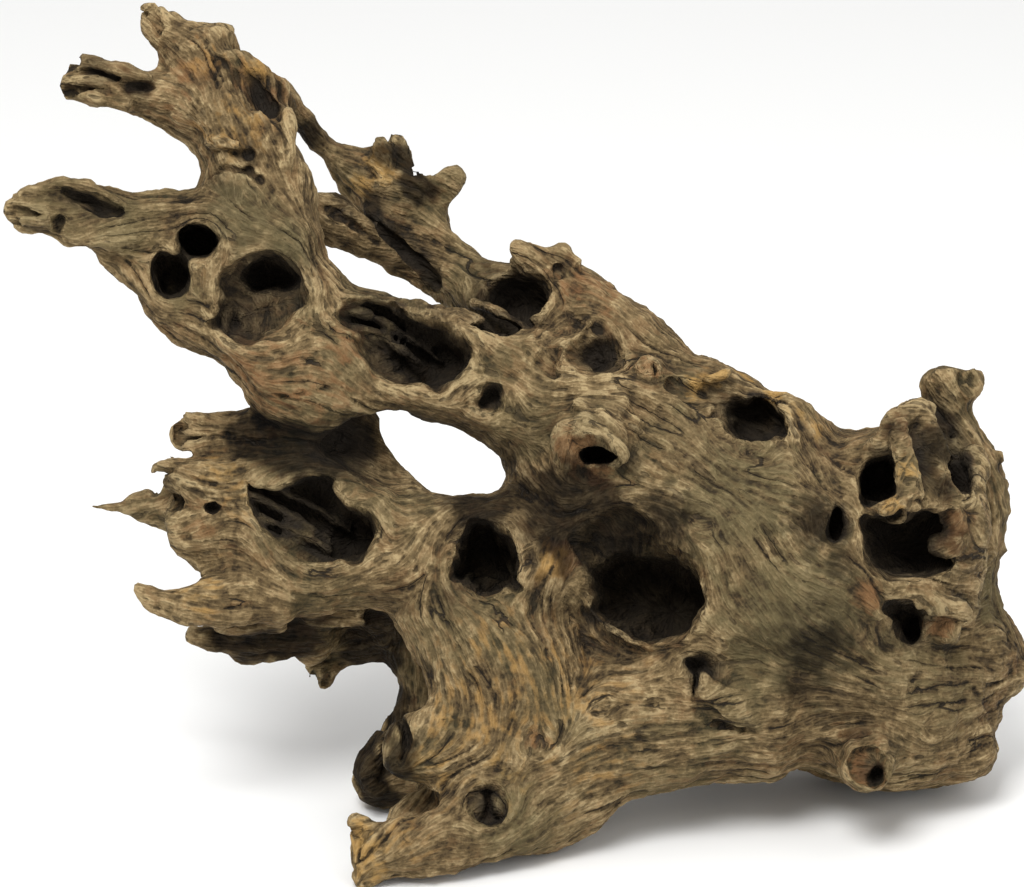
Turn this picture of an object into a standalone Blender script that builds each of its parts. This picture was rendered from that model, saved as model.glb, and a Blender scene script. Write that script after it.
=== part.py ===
"""A piece of driftwood: a heavy root crown whose limbs fan out to one side and end in torn, pointed tips.

It grew as one piece, so it is one solid. Every limb is a loft through stations read square-on from the front.
The lofts are fused and webbed together, the hollows are cut, and what stands inside a hollow is added last.
"""

import math

import bmesh
import bpy
from mathutils import Vector, noise

MM = 0.001

# The front view that the stations are read in, in millimetres.
# Across runs right from the left tip, down runs from the top tip, and out runs towards the viewer.
VIEW_CENTRE_ACROSS = 256.0
VIEW_CENTRE_DOWN = 221.75
VIEW_DISTANCE = 2000.0
VIEW_TILT = math.radians(20.0)

# Where the middle of the front view lies once the piece stands on its feet
CENTRE_X = -7.2
CENTRE_Y = 12.3
CENTRE_HEIGHT = 180.5

# Resolution of the lofts and of the fused body
RING_SIDES = 20
STEPS_BETWEEN_STATIONS = 5
VOXEL = 2.4
FINE_VOXEL = 2.0
WEB_RADIUS = 4.0
SKIN_KEPT = 0.6
FACES_KEPT = 0.038

# Natural unevenness of every loft
LUMP_SHARE = 0.10
LUMP_LENGTH = 30.0
FLUTE_SHARE = 0.05
FLUTE_COUNT = 5
CAP_SHARE = 0.45
CAP_ANGLES = (30.0, 58.0, 80.0)

WOOD_COLOUR = (0.30, 0.22, 0.13, 1.0)
WOOD_ROUGHNESS = 0.85

# Each station is (across, down, out, half width, half depth). Half depth is measured towards the viewer, or up
# and down where the loft itself points at the viewer.
LIMBS = {
    # The root crown and its round right end
    "crown": [
        (470, 280, -8, 45, 40),
        (435, 285, -4, 65, 58),
        (395, 285, 0, 80, 68),
        (350, 270, 0, 82, 66),
        (310, 240, 2, 70, 55),
        (281, 208, 6, 44, 40),
        (257, 194, 12, 28, 28),
    ],
    "bulb": [
        (507, 335, -30, 15, 14),
        (500, 334, -30, 29, 27),
        (490, 334, -31, 41, 40),
        (478, 338, -32, 48, 49),
        (462, 344, -32, 54, 57),
        (438, 342, -26, 54, 60),
        (405, 332, -12, 52, 60),
        (370, 325, -6, 48, 54),
    ],
    "right_ridge": [
        (486, 322, -22, 21, 28),
        (484, 292, -20, 14, 22),
        (487, 276, -18, 14, 21),
        (490, 260, -16, 13.5, 20),
        (491, 245, -15, 13, 19),
        (485, 226, -12, 11, 17),
        (478, 214, -10, 12, 15),
    ],
    "knob": [
        (476, 225, -8, 17, 15),
        (474, 207, -6, 12, 11),
        (473, 195, -5, 13, 12),
        (475, 188, -5, 11, 9),
    ],
    "knob_left_lump": [(472, 197, -2, 7, 6), (467, 189, 2, 6.5, 6)],
    "knob_right_lump": [(480, 196, -6, 7, 6), (487, 189, -8, 5, 5), (490, 195, -8, 3.5, 3.5)],
    "crater_saddle": [(390, 232, 2, 30, 34), (412, 242, 8, 28, 30), (436, 240, 14, 25, 26), (458, 236, 10, 20, 22)],
    "crater_mass": [(418, 262, 20, 38, 30), (448, 262, 28, 46, 34), (474, 265, 16, 34, 28)],
    "crater_lump": [(450, 236, 30, 14, 12), (452, 221, 30, 13, 10), (457, 212, 28, 9, 8)],
    "low_knot": [(432, 372, 18, 17, 17), (432, 382, 40, 14, 14), (433, 385, 50, 12.5, 12.5)],
    # The limb that runs along the top, and what stands on it
    "upper_limb": [
        (400, 238, -8, 28, 40),
        (352, 208, -10, 29, 42),
        (330, 193, -12, 23, 40),
        (306, 172, -14, 25, 38),
        (278, 157, -20, 28, 30),
        (253, 152, -26, 20, 24),
        (234, 141, -32, 15, 19),
        (219, 126, -38, 13, 16),
        (206, 110, -40, 14, 14),
        (191, 97, -38, 15, 13),
        (178, 86, -36, 13.5, 13),
        (166, 76.5, -28, 6.5, 7),
        (154, 65, -18, 7, 7.5),
        (145, 52, -6, 7.5, 7),
        (134, 42, 4, 7, 7),
    ],
    "upper_strand": [
        (150, 107, 8, 12, 10),
        (167, 112, -4, 13.5, 10),
        (185, 118, -18, 12, 9),
        (202, 131, -30, 8, 8),
        (220, 146, -36, 6.5, 8),
        (238, 155, -36, 10, 10),
    ],
    "wide_stub": [(192, 95, -38, 10, 7), (196, 82, -36, 9.5, 6), (196, 68, -34, 9, 4.5)],
    "thin_stub": [(212, 103, -32, 5, 4), (210, 92, -29, 4.5, 3.5), (210, 85, -28, 3.5, 3.2)],
    "round_stub": [(213, 112, -40, 10, 9), (220, 99, -38, 6.5, 6.5), (226, 90, -36, 7, 7), (229, 86, -35, 6.5, 6.5)],
    "torn_stub": [(274, 145, -4, 10, 8), (268, 131, 2, 9, 6), (262, 125.5, 6, 6.5, 5), (257, 123, 8, 4.5, 4)],
    "torn_stub_tip": [(272, 136, 0, 8, 6), (280, 128, 0, 7, 5), (285, 126, 0, 5, 4.5)],
    # The middle limb and the head it carries
    "middle_limb": [
        (320, 220, 4, 45, 42),
        (280, 202, 12, 36, 32),
        (250, 191, 15, 29, 26),
        (225, 184, 18, 28, 24),
        (200, 175, 22, 27, 24),
        (171, 167, 26, 26, 24),
        (145, 152, 30, 27, 28),
        (120, 138, 32, 30, 28),
    ],
    "head": [
        (75, 143, 36, 14, 14),
        (92, 135, 35, 33, 25),
        (115, 131, 34, 38, 30),
        (138, 123, 32, 33, 26),
        (152, 120, 26, 17, 14),
    ],
    "cheek": [(76, 149, 36, 9, 10), (93, 156, 34, 16, 16), (112, 160, 34, 20, 20)],
    "jaw": [
        (114, 152, 34, 20, 20),
        (131, 175, 38, 20, 24),
        (152, 189, 36, 27, 22),
        (176, 193, 32, 19, 16),
        (197, 197, 28, 8, 8),
    ],
    "neck": [
        (128, 108, 30, 31, 24),
        (128, 90, 27, 29, 22),
        (124, 77, 25, 24, 20),
        (119, 64, 24, 24, 19),
        (110, 49, 22, 23, 16),
        (101, 34, 20, 20, 12),
        (97, 22, 18, 18, 8),
    ],
    "tail_left": [(94, 26, 18, 13, 8), (82, 15, 16, 10, 6.5), (73, 6, 14, 6.5, 5)],
    "tail_right": [(103, 30, 17, 14, 8), (108, 20, 16, 12, 7), (108, 14, 15, 9, 5)],
    "tail_ridge": [(112, 36, 24, 8, 6), (126, 39, 24, 9, 6), (137, 46, 18, 7, 6), (145, 54, 8, 5, 6)],
    "ear": [(139, 75, 28, 10, 8), (142, 64, 28, 6, 5), (144, 55, 28, 3.5, 3.5)],
    "left_branch": [
        (100, 56, 21, 17, 15),
        (82, 50, 23, 14, 12),
        (70, 46.5, 25, 11.5, 10),
        (58, 43, 27, 11, 9),
        (45, 41.5, 28, 11.5, 8.5),
        (32, 43.5, 28, 7, 5.5),
    ],
    "left_branch_tip": [(60, 38, 29, 6, 5), (48, 33, 30, 5, 4), (42, 30, 30, 3.5, 3)],
    "left_spike": [
        (88, 112, 37, 17, 16),
        (70, 109, 41, 13, 12),
        (54, 109, 45, 13.5, 11),
        (40, 106, 48, 15.5, 11),
        (25, 105.5, 50, 12.5, 9.5),
        (12, 105.5, 51, 10.5, 7.5),
        (3, 104.5, 52, 5, 4.5),
    ],
    "left_spike_lobe": [(65, 118, 50, 8, 7), (48, 118, 53, 6.5, 6), (37, 116, 54, 5.5, 5)],
    "chin_spike": [(78, 138, 40, 13, 12), (62, 134, 41, 8, 7), (49.5, 129.5, 42, 3.5, 3.5)],
    "brow": [(88, 108, 36, 13, 12), (79, 100, 36, 7, 7), (75, 96, 36, 3, 3)],
    # The torn flare on the left and its spikes
    "flare": [
        (280, 282, 8, 45, 45),
        (240, 281, 12, 34, 36),
        (210, 276, 16, 30, 30),
        (180, 272, 20, 32, 26),
        (150, 266, 23, 42, 23),
        (125, 266, 23, 43, 19),
        (106, 270, 22, 31, 12),
        (98, 278, 22, 18, 8),
    ],
    "flare_web": [(177, 210, -2, 12, 12), (180, 225, -2, 13, 14), (191, 245, 2, 14, 17), (212, 266, 8, 17, 22)],
    "plate_back": [(125, 224, 14, 17, 10), (150, 219, 8, 18, 12), (177, 210, 0, 14, 12)],
    "plate_spike": [
        (145, 230, 20, 18, 14),
        (125, 223, 18, 18, 11),
        (108, 220.5, 15, 14.5, 8),
        (94, 217.5, 12, 10, 5.5),
        (87, 219, 10, 7, 4),
    ],
    "notched_spike": [(125, 250, 28, 17, 12), (105, 243, 29, 14, 9), (88, 237, 27, 9, 6), (77, 233.5, 25, 4.5, 3.5)],
    "long_spike": [
        (110, 260, 10, 18, 11),
        (88, 254, 5, 13, 8.5),
        (75, 252.5, 2, 9.5, 6.5),
        (61, 253, 0, 4.2, 4),
        (44, 253, -2, 2.4, 2.4),
    ],
    "hooked_spike": [
        (140, 294, 34, 17, 12),
        (110, 300, 38, 13, 9),
        (90, 302, 40, 10, 7),
        (78, 300, 41, 7, 5),
        (68, 292.5, 42, 3.5, 3),
    ],
    "under_lobe_front": [(130, 320, 12, 8, 7), (110, 320, 12, 7, 6), (95, 317.5, 12, 5, 4.5)],
    "under_lobe_middle": [(160, 312, 0, 13, 11), (138, 321, 2, 10, 9), (118, 325, 4, 8, 8)],
    "under_lobe_back": [(162, 317, -6, 11, 8), (151, 328, -8, 6, 6)],
    "prong": [(185, 315, -22, 17, 9), (173, 321, -26, 14, 7), (164, 332, -28, 7, 5), (162, 344, -28, 5.5, 5)],
    "arch_wall": [
        (185, 300, -8, 14, 16),
        (204, 319, -18, 15, 14),
        (212, 338, -22, 13, 14),
        (212, 355, -22, 13, 15),
        (222, 375, -14, 16, 20),
    ],
    "arch_front": [
        (218, 284, 14, 34, 28),
        (234, 300, 18, 38, 30),
        (250, 318, 22, 41, 32),
        (258, 338, 25, 42, 32),
        (260, 358, 27, 42, 32),
    ],
    # The low limb, its split foot and the roots it stands on
    "lower_limb": [
        (380, 345, -2, 47, 54),
        (340, 350, 4, 44, 50),
        (302, 361, 12, 41, 46),
        (285, 370, 18, 38, 42),
        (267, 382, 24, 43, 38),
        (237, 389, 32, 42, 28),
    ],
    "heel": [(256, 397, 36, 26, 20), (272, 410, 34, 15, 14)],
    "foot_upper_lip": [(250, 374, 32, 27, 22), (226, 373, 40, 23, 17), (208, 375, 43, 18, 13), (197, 379, 44, 11, 8)],
    "foot_lower_lip": [
        (260, 404, 42, 24, 20),
        (235, 413, 52, 20, 17),
        (215, 421, 59, 16, 15),
        (198, 425, 60, 14, 14),
        (186, 426, 62, 10, 12),
    ],
    "foot_toe": [(188, 425, 61, 11, 10), (184, 434, 62, 8, 8), (185, 441, 62, 7, 8)],
    "foot_tooth": [(189, 424, 60, 9, 8), (181, 416, 62, 8, 6), (176, 409, 63, 5, 4.5)],
    "mouth_back": [(240, 398, 18, 20, 16), (218, 405, 18, 15, 12), (203, 409, 22, 9, 8), (197, 411, 24, 6, 6)],
    "back_root_left": [
        (235, 375, -12, 24, 22),
        (212, 382, -16, 22, 20),
        (196, 388, -17, 18, 16),
        (186, 391, -18, 12, 12),
        (180, 391, -18, 7, 8),
    ],
    "back_root_shoulder": [(214, 365, -18, 14, 12), (200, 368, -18, 10, 9), (193, 374, -18, 8, 8)],
    "black_stub": [(208, 361, -20, 5, 4), (197, 360, -20, 4, 4), (190, 361, -20, 3.5, 3.2)],
    "back_root": [
        (345, 285, -48, 44, 38),
        (334, 312, -86, 29, 27),
        (322, 336, -116, 21, 20),
        (315, 352, -136, 17, 16),
        (310, 364, -150, 15, 13),
    ],
    "back_root_fork": [(334, 320, -96, 20, 18), (348, 336, -114, 13, 12), (358, 346, -126, 8, 8)],
    "back_root_brace": [(372, 318, -40, 30, 30), (350, 326, -78, 19, 18), (332, 334, -104, 12, 12)],
    # What the front view does not show
    "back_limb": [(420, 262, -48, 34, 26), (400, 238, -78, 22, 18), (378, 214, -100, 14, 12), (366, 203, -108, 8, 7)],
    "back_spine": [(300, 215, -34, 26, 22), (330, 250, -62, 24, 18), (390, 292, -72, 30, 16), (440, 318, -66, 34, 18)],
    "back_stub": [(250, 290, -30, 22, 16), (236, 292, -58, 14, 12), (230, 294, -68, 11, 10)],
}

# Hollows, each from its mouth inwards
HOLLOWS = {
    "deep_hollow": [(312, 284, 92, 30, 24), (320, 292, 58, 29, 23), (332, 302, 20, 25, 20), (338, 306, -6, 16, 13)],
    "deep_hollow_funnel": [(300, 262, 84, 26, 20), (306, 272, 58, 20, 16), (318, 286, 36, 14, 12)],
    "triangle_hollow": [(242, 276, 70, 15, 18), (244, 280, 40, 15, 17), (248, 284, 6, 11, 12)],
    "flare_hollow": [(158, 264, 62, 27, 16), (164, 266, 44, 25, 15), (172, 268, 22, 15, 11), (180, 270, 8, 9, 8)],
    "top_hollow": [(376, 206, 60, 18, 12), (377, 210, 36, 17, 12), (378, 214, 6, 12, 9)],
    "top_scoop": [(350, 200, 66, 26, 9), (354, 203, 44, 20, 6)],
    "scoop": [(296, 172, 66, 17, 13), (300, 176, 36, 15, 12), (302, 178, 20, 9, 8)],
    "crater": [(254, 140, 34, 20, 17), (258, 150, 6, 19, 17), (264, 158, -20, 12, 11)],
    "open_knot": [(290, 227, 84, 17, 9), (294, 228, 58, 14, 8), (300, 228, 34, 8, 5)],
    "small_knot": [(324, 184, 66, 7, 7), (325, 185, 44, 6, 6)],
    "slot": [(243, 201, 52, 9, 6), (244, 202, 34, 7, 5)],
    "long_hollow": [
        (205, 168, 66, 34, 17),
        (208, 174, 46, 31, 18),
        (214, 180, 26, 22, 14),
        (220, 184, 8, 12, 10),
    ],
    "head_crater": [(130, 148, 84, 23, 23), (131, 150, 60, 20, 20), (132, 150, 46, 12, 12)],
    "head_crater_top": [(134, 136, 76, 13, 9), (135, 137, 44, 10, 8)],
    "head_crater_side": [(114, 160, 72, 7, 8), (114, 161, 40, 6, 7)],
    "eye_left": [(85, 139, 76, 11, 13), (86, 139, 46, 10, 12), (87, 140, 22, 7, 8)],
    "eye_right": [(99, 121, 76, 11, 9), (100, 121, 44, 10, 8), (101, 122, 24, 7, 6)],
    "foot_mouth": [(190, 402, 70, 15, 7), (204, 402, 54, 13, 7), (214, 402, 40, 7, 5)],
    "foot_knot": [(243, 402, 74, 10, 9), (244, 403, 52, 9, 8)],
    "ledge_notch": [(346, 331, 78, 8, 6), (350, 334, 48, 7, 5)],
    "crater_left": [(438, 245, 76, 9, 15), (440, 245, 40, 8, 13), (442, 246, 16, 5, 8)],
    "crater_low": [(458, 270, 76, 26, 17), (456, 270, 42, 23, 15), (452, 270, 20, 12, 9)],
    "crater_right": [(481, 238, 40, 9, 9), (479, 238, 12, 7, 8)],
    "side_slot": [(417, 261, 66, 6, 11), (419, 261, 36, 4, 8)],
    "slanted_hollow": [(453, 310, 66, 8, 12), (455, 312, 34, 7, 11), (457, 313, 10, 5, 7)],
    "low_knot_hollow": [(433, 384, 64, 8, 8), (433, 383, 38, 7, 7)],
    "branch_hollow": [(70, 44, 46, 7, 4.5), (72, 44, 30, 6, 4)],
    "back_hollow_high": [(360, 250, -104, 26, 15), (358, 252, -74, 22, 13), (352, 254, -46, 14, 10)],
    "back_hollow_low": [(425, 350, -104, 18, 22), (424, 348, -74, 15, 19), (422, 344, -50, 9, 11)],
    "back_hollow_left": [(285, 300, -72, 15, 12), (287, 300, -48, 13, 11), (290, 298, -26, 8, 7)],
    "back_stub_hollow": [(226, 295, -86, 6.5, 6), (231, 294, -60, 6, 5.5), (236, 293, -46, 4, 4)],
}

# What stands inside the hollows
STRUTS = {
    "crater_post": [(452, 216, 34, 8, 7), (455, 236, 42, 8, 7), (450, 254, 38, 9, 8)],
    "crater_bridge": [(430, 255, 30, 6, 6), (448, 256, 36, 7, 7), (466, 250, 30, 7, 7)],
}

FLOOR_DEPTH = 60.0
FLOOR_SIDE = 1400.0


def clear_scene():
    for obj in list(bpy.data.objects):
        bpy.data.objects.remove(obj)


def seen(across, down, out):
    """The point, in metres, that the front view shows at (across, down) and that stands `out` in front of its plane."""
    nearness = (VIEW_DISTANCE - out) / VIEW_DISTANCE
    right = (across - VIEW_CENTRE_ACROSS) * nearness
    up = (VIEW_CENTRE_DOWN - down) * nearness
    return Vector(
        (
            CENTRE_X + right,
            CENTRE_Y + up * math.sin(VIEW_TILT) - out * math.cos(VIEW_TILT),
            CENTRE_HEIGHT + up * math.cos(VIEW_TILT) + out * math.sin(VIEW_TILT),
        )
    ) * MM


OUTWARD = Vector((0, -math.cos(VIEW_TILT), math.sin(VIEW_TILT)))
UPWARD = Vector((0, math.sin(VIEW_TILT), math.cos(VIEW_TILT)))


def spline_rows(stations):
    """Catmull-Rom rows through the stations, with all five numbers of a station carried along."""
    ends = [stations[0], *stations, stations[-1]]
    rows = []
    for before, here, there, after in zip(ends, ends[1:], ends[2:], ends[3:]):
        for step in range(STEPS_BETWEEN_STATIONS):
            t = step / STEPS_BETWEEN_STATIONS
            rows.append(
                [
                    b + 0.5 * t * (c - a + t * (2 * a - 5 * b + 4 * c - d + t * (3 * (b - c) + d - a)))
                    for a, b, c, d in zip(before, here, there, after)
                ]
            )
    rows.append(list(stations[-1]))
    return rows


def rings_of(stations):
    """(centre, width vector, depth vector) of each cross-section, with a rounded run-out at both ends."""
    rows = spline_rows(stations)
    centres = [seen(*row[:3]) for row in rows]
    overall = (centres[-1] - centres[0]).normalized()
    reference = UPWARD if abs(overall.dot(OUTWARD)) > 0.75 else OUTWARD
    rings = []
    for i, row in enumerate(rows):
        along = (centres[min(i + 1, len(rows) - 1)] - centres[max(i - 1, 0)]).normalized()
        width = along.cross(reference).normalized()
        depth = width.cross(along).normalized()
        rings.append((centres[i], width * row[3] * MM, depth * row[4] * MM, along))
    capped = []
    for sign, (centre, width, depth, along) in ((-1, rings[0]), (1, rings[-1])):
        reach = CAP_SHARE * min(width.length, depth.length * 1.5)
        cap = [
            (
                centre + along * sign * reach * math.sin(math.radians(angle)),
                width * math.cos(math.radians(angle)),
                depth * math.cos(math.radians(angle)),
                along,
            )
            for angle in CAP_ANGLES
        ]
        capped.append(cap)
    return [*reversed(capped[0]), *rings, *capped[1]]


def add_loft(bm, stations, phase):
    """Adds one closed loft to bm. Its skin is lumpy and lightly fluted, as grown wood is."""
    shift = Vector((CENTRE_X, CENTRE_Y, 0)) * MM
    previous = None
    for centre, width, depth, _ in rings_of(stations):
        ring = []
        for side in range(RING_SIDES):
            angle = 2 * math.pi * side / RING_SIDES
            spoke = width * math.cos(angle) + depth * math.sin(angle)
            lump = noise.noise((centre + spoke - shift) / (LUMP_LENGTH * MM))
            flute = math.sin(FLUTE_COUNT * angle + phase)
            ring.append(bm.verts.new(centre + spoke * (1 + LUMP_SHARE * lump + FLUTE_SHARE * flute)))
        if previous is None:
            bm.faces.new(reversed(ring))
        else:
            for side in range(RING_SIDES):
                after = (side + 1) % RING_SIDES
                bm.faces.new((previous[side], previous[after], ring[after], ring[side]))
        previous = ring
    bm.faces.new(previous)


def lofts(name, table, collection):
    """One object that holds a closed loft for every entry of the table."""
    bm = bmesh.new()
    for index, stations in enumerate(table.values()):
        add_loft(bm, stations, phase=1.7 * index)
    bmesh.ops.recalc_face_normals(bm, faces=bm.faces)
    mesh = bpy.data.meshes.new(name)
    bm.to_mesh(mesh)
    bm.free()
    obj = bpy.data.objects.new(name, mesh)
    collection.objects.link(obj)
    return obj


def fuse(obj, voxel):
    modifier = obj.modifiers.new("Fuse", "REMESH")
    modifier.mode = "VOXEL"
    modifier.voxel_size = voxel * MM


def swell(obj, distance):
    modifier = obj.modifiers.new("Swell", "DISPLACE")
    modifier.strength = distance * MM
    modifier.mid_level = 0.0


def soften(obj, factor, times):
    modifier = obj.modifiers.new("Soften", "SMOOTH")
    modifier.factor = factor
    modifier.iterations = times


def combine(obj, other, operation, solver="EXACT"):
    modifier = obj.modifiers.new(operation.title(), "BOOLEAN")
    modifier.operation = operation
    modifier.object = other
    modifier.solver = solver


def as_helper(obj):
    obj.hide_render = True
    obj.display_type = "WIRE"


def floor_cutter(collection):
    """A slab whose top is the ground, which flattens the feet where they stand."""
    mesh = bpy.data.meshes.new("ground")
    bm = bmesh.new()
    bmesh.ops.create_cube(bm, size=1.0)
    bm.to_mesh(mesh)
    bm.free()
    obj = bpy.data.objects.new("ground", mesh)
    obj.scale = (FLOOR_SIDE * MM, FLOOR_SIDE * MM, FLOOR_DEPTH * MM)
    obj.location = (0, 0, -FLOOR_DEPTH * MM / 2)
    collection.objects.link(obj)
    return obj


def wood():
    material = bpy.data.materials.new("weathered_wood")
    material.use_nodes = True
    shader = material.node_tree.nodes["Principled BSDF"]
    shader.inputs["Base Color"].default_value = WOOD_COLOUR
    shader.inputs["Roughness"].default_value = WOOD_ROUGHNESS
    shader.inputs["Metallic"].default_value = 0.0
    return material


def build():
    clear_scene()
    part = bpy.data.collections.new("driftwood")
    cutters = bpy.data.collections.new("cutters")
    bpy.context.scene.collection.children.link(part)
    bpy.context.scene.collection.children.link(cutters)

    hollows = lofts("hollows", HOLLOWS, cutters)
    fuse(hollows, FINE_VOXEL)
    struts = lofts("struts", STRUTS, cutters)
    fuse(struts, FINE_VOXEL)
    ground = floor_cutter(cutters)
    for helper in (hollows, struts, ground):
        as_helper(helper)

    driftwood = lofts("driftwood", LIMBS, part)
    fuse(driftwood, VOXEL)
    swell(driftwood, WEB_RADIUS)
    fuse(driftwood, VOXEL)
    swell(driftwood, SKIN_KEPT - WEB_RADIUS)
    soften(driftwood, 0.5, 4)
    combine(driftwood, hollows, "DIFFERENCE", "MANIFOLD")
    combine(driftwood, struts, "UNION", "MANIFOLD")
    fuse(driftwood, FINE_VOXEL)
    soften(driftwood, 0.5, 3)
    thin = driftwood.modifiers.new("Thin", "DECIMATE")
    thin.ratio = FACES_KEPT
    combine(driftwood, ground, "DIFFERENCE", "MANIFOLD")
    driftwood.data.materials.append(wood())


build()
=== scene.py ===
"""The looks of the driftwood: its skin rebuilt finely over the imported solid, carved, grained and coloured.

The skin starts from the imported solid, so it keeps its size. Details are placed by the front view, in
millimetres: `across` runs right from the left tip, `down` from the top tip and `out` towards the viewer.
"""

import math

import bmesh
import bpy
import numpy as np
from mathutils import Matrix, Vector, kdtree, noise
from mathutils.bvhtree import BVHTree


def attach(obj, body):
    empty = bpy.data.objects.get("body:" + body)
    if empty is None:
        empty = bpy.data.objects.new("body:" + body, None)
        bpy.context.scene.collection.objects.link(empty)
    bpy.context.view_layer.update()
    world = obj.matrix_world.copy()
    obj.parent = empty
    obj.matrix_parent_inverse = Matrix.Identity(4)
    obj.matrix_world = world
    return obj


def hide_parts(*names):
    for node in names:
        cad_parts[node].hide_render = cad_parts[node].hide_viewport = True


MM = 0.001

# The front view, and where its middle lies in the frame
VIEW_CENTRE_ACROSS = 256.0
VIEW_CENTRE_DOWN = 221.75
VIEW_DISTANCE = 2000.0
VIEW_WIDTH = 512.0
VIEW_TILT = math.radians(20.0)
CENTRE = Vector((-7.2, 12.3, 180.5))
OUTWARD = Vector((0, -math.cos(VIEW_TILT), math.sin(VIEW_TILT)))
UPWARD = Vector((0, math.sin(VIEW_TILT), math.cos(VIEW_TILT)))
SENSOR_WIDTH = 36.0
SIGHT_REACH = 300.0

# Resolution of the skin
ROUND_LEVELS = 2
ROUND_PUSHES = 2
PUSH_SHARE = 0.8
VOXEL = 1.35
CUT_VOXEL = 1.1
FACE_BUDGET = 192000
SEED = 7

# Lofts and mouths
RING_SIDES = 16
STEPS_BETWEEN_STATIONS = 4
INWARD_SHARE = 0.75
TIP_REACH = 0.425
TIP_SIZE = 0.55
ADDED_UNEVENNESS = 0.28
CARVED_UNEVENNESS = 0.22
RIDGE_UNEVENNESS = 0.20
MOUTH_UNEVENNESS = 0.10
LOFT_LUMP = 9.0
FINE_LOFT_LUMP = 4.0
MOUTH_LUMP = 8.0
FINE_MOUTH_LUMP = 3.5
MOUTH_CLEARANCE = 30.0

# Centre lines of the limbs: (across, down, out, radius). The grain runs along them, towards the tips.
GRAIN_LINES = {
    "crown": [(500, 345, -28, 40), (430, 300, -4, 60), (360, 270, 0, 65), (300, 235, 4, 50),
        (260, 195, 12, 30)],
    "upper_limb": [(430, 235, -8, 30), (350, 205, -10, 30), (290, 163, -18, 28), (240, 143, -30, 18),
        (210, 112, -40, 14), (178, 86, -36, 13), (154, 65, -18, 7), (134, 42, 4, 7)],
    "lower_strand": [(250, 160, -34, 12), (220, 146, -36, 7), (202, 131, -30, 8), (167, 112, -4, 13),
        (150, 107, 8, 12)],
    "middle_limb": [(300, 212, 8, 40), (250, 190, 15, 28), (200, 175, 22, 26), (150, 155, 30, 27),
        (115, 132, 34, 34)],
    "left_spike": [(115, 125, 34, 30), (70, 109, 41, 13), (40, 106, 48, 14), (3, 104.5, 52, 5)],
    "jaw": [(190, 196, 28, 10), (152, 189, 36, 25), (131, 175, 38, 20), (112, 155, 34, 20),
        (80, 148, 36, 12)],
    "neck": [(132, 120, 30, 30), (126, 85, 26, 25), (114, 56, 23, 23), (99, 28, 19, 18), (80, 12, 15, 9)],
    "tail_right": [(112, 50, 22, 18), (108, 14, 15, 9)],
    "left_branch": [(112, 62, 22, 20), (82, 50, 23, 14), (58, 43, 27, 11), (30, 43, 28, 7)],
    "flare": [(310, 292, 4, 55), (240, 280, 12, 36), (180, 272, 20, 32), (140, 266, 23, 40),
        (98, 276, 22, 20)],
    "plate_spike": [(160, 245, 20, 25), (125, 223, 18, 18), (88, 218, 10, 8)],
    "notched_spike": [(150, 255, 25, 25), (105, 243, 29, 14), (77, 233, 25, 5)],
    "long_spike": [(130, 262, 18, 25), (88, 254, 5, 12), (61, 253, 0, 4), (44, 253, -2, 3)],
    "hooked_spike": [(180, 285, 26, 25), (140, 294, 34, 17), (100, 301, 39, 12), (68, 292, 42, 4)],
    "arch": [(218, 284, 14, 30), (250, 318, 22, 40), (262, 345, 26, 40), (255, 375, 30, 35)],
    "low_limb": [(420, 340, -12, 55), (350, 348, 2, 50), (285, 370, 18, 40), (235, 395, 34, 35),
        (190, 425, 60, 14)],
    "bulb": [(470, 300, -24, 40), (478, 340, -30, 45), (440, 355, -24, 50), (400, 345, -12, 50)],
    "right_ridge": [(492, 320, -24, 25), (488, 276, -18, 15), (490, 245, -15, 13), (474, 190, -5, 12)],
    "back_root": [(345, 285, -48, 42), (334, 312, -86, 29), (310, 364, -150, 15)],
    "back_limb": [(425, 270, -40, 34), (400, 238, -78, 20), (366, 203, -108, 8)],
    "back_spine": [(460, 320, -60, 30), (390, 292, -72, 28), (300, 215, -34, 24)],
}

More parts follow.
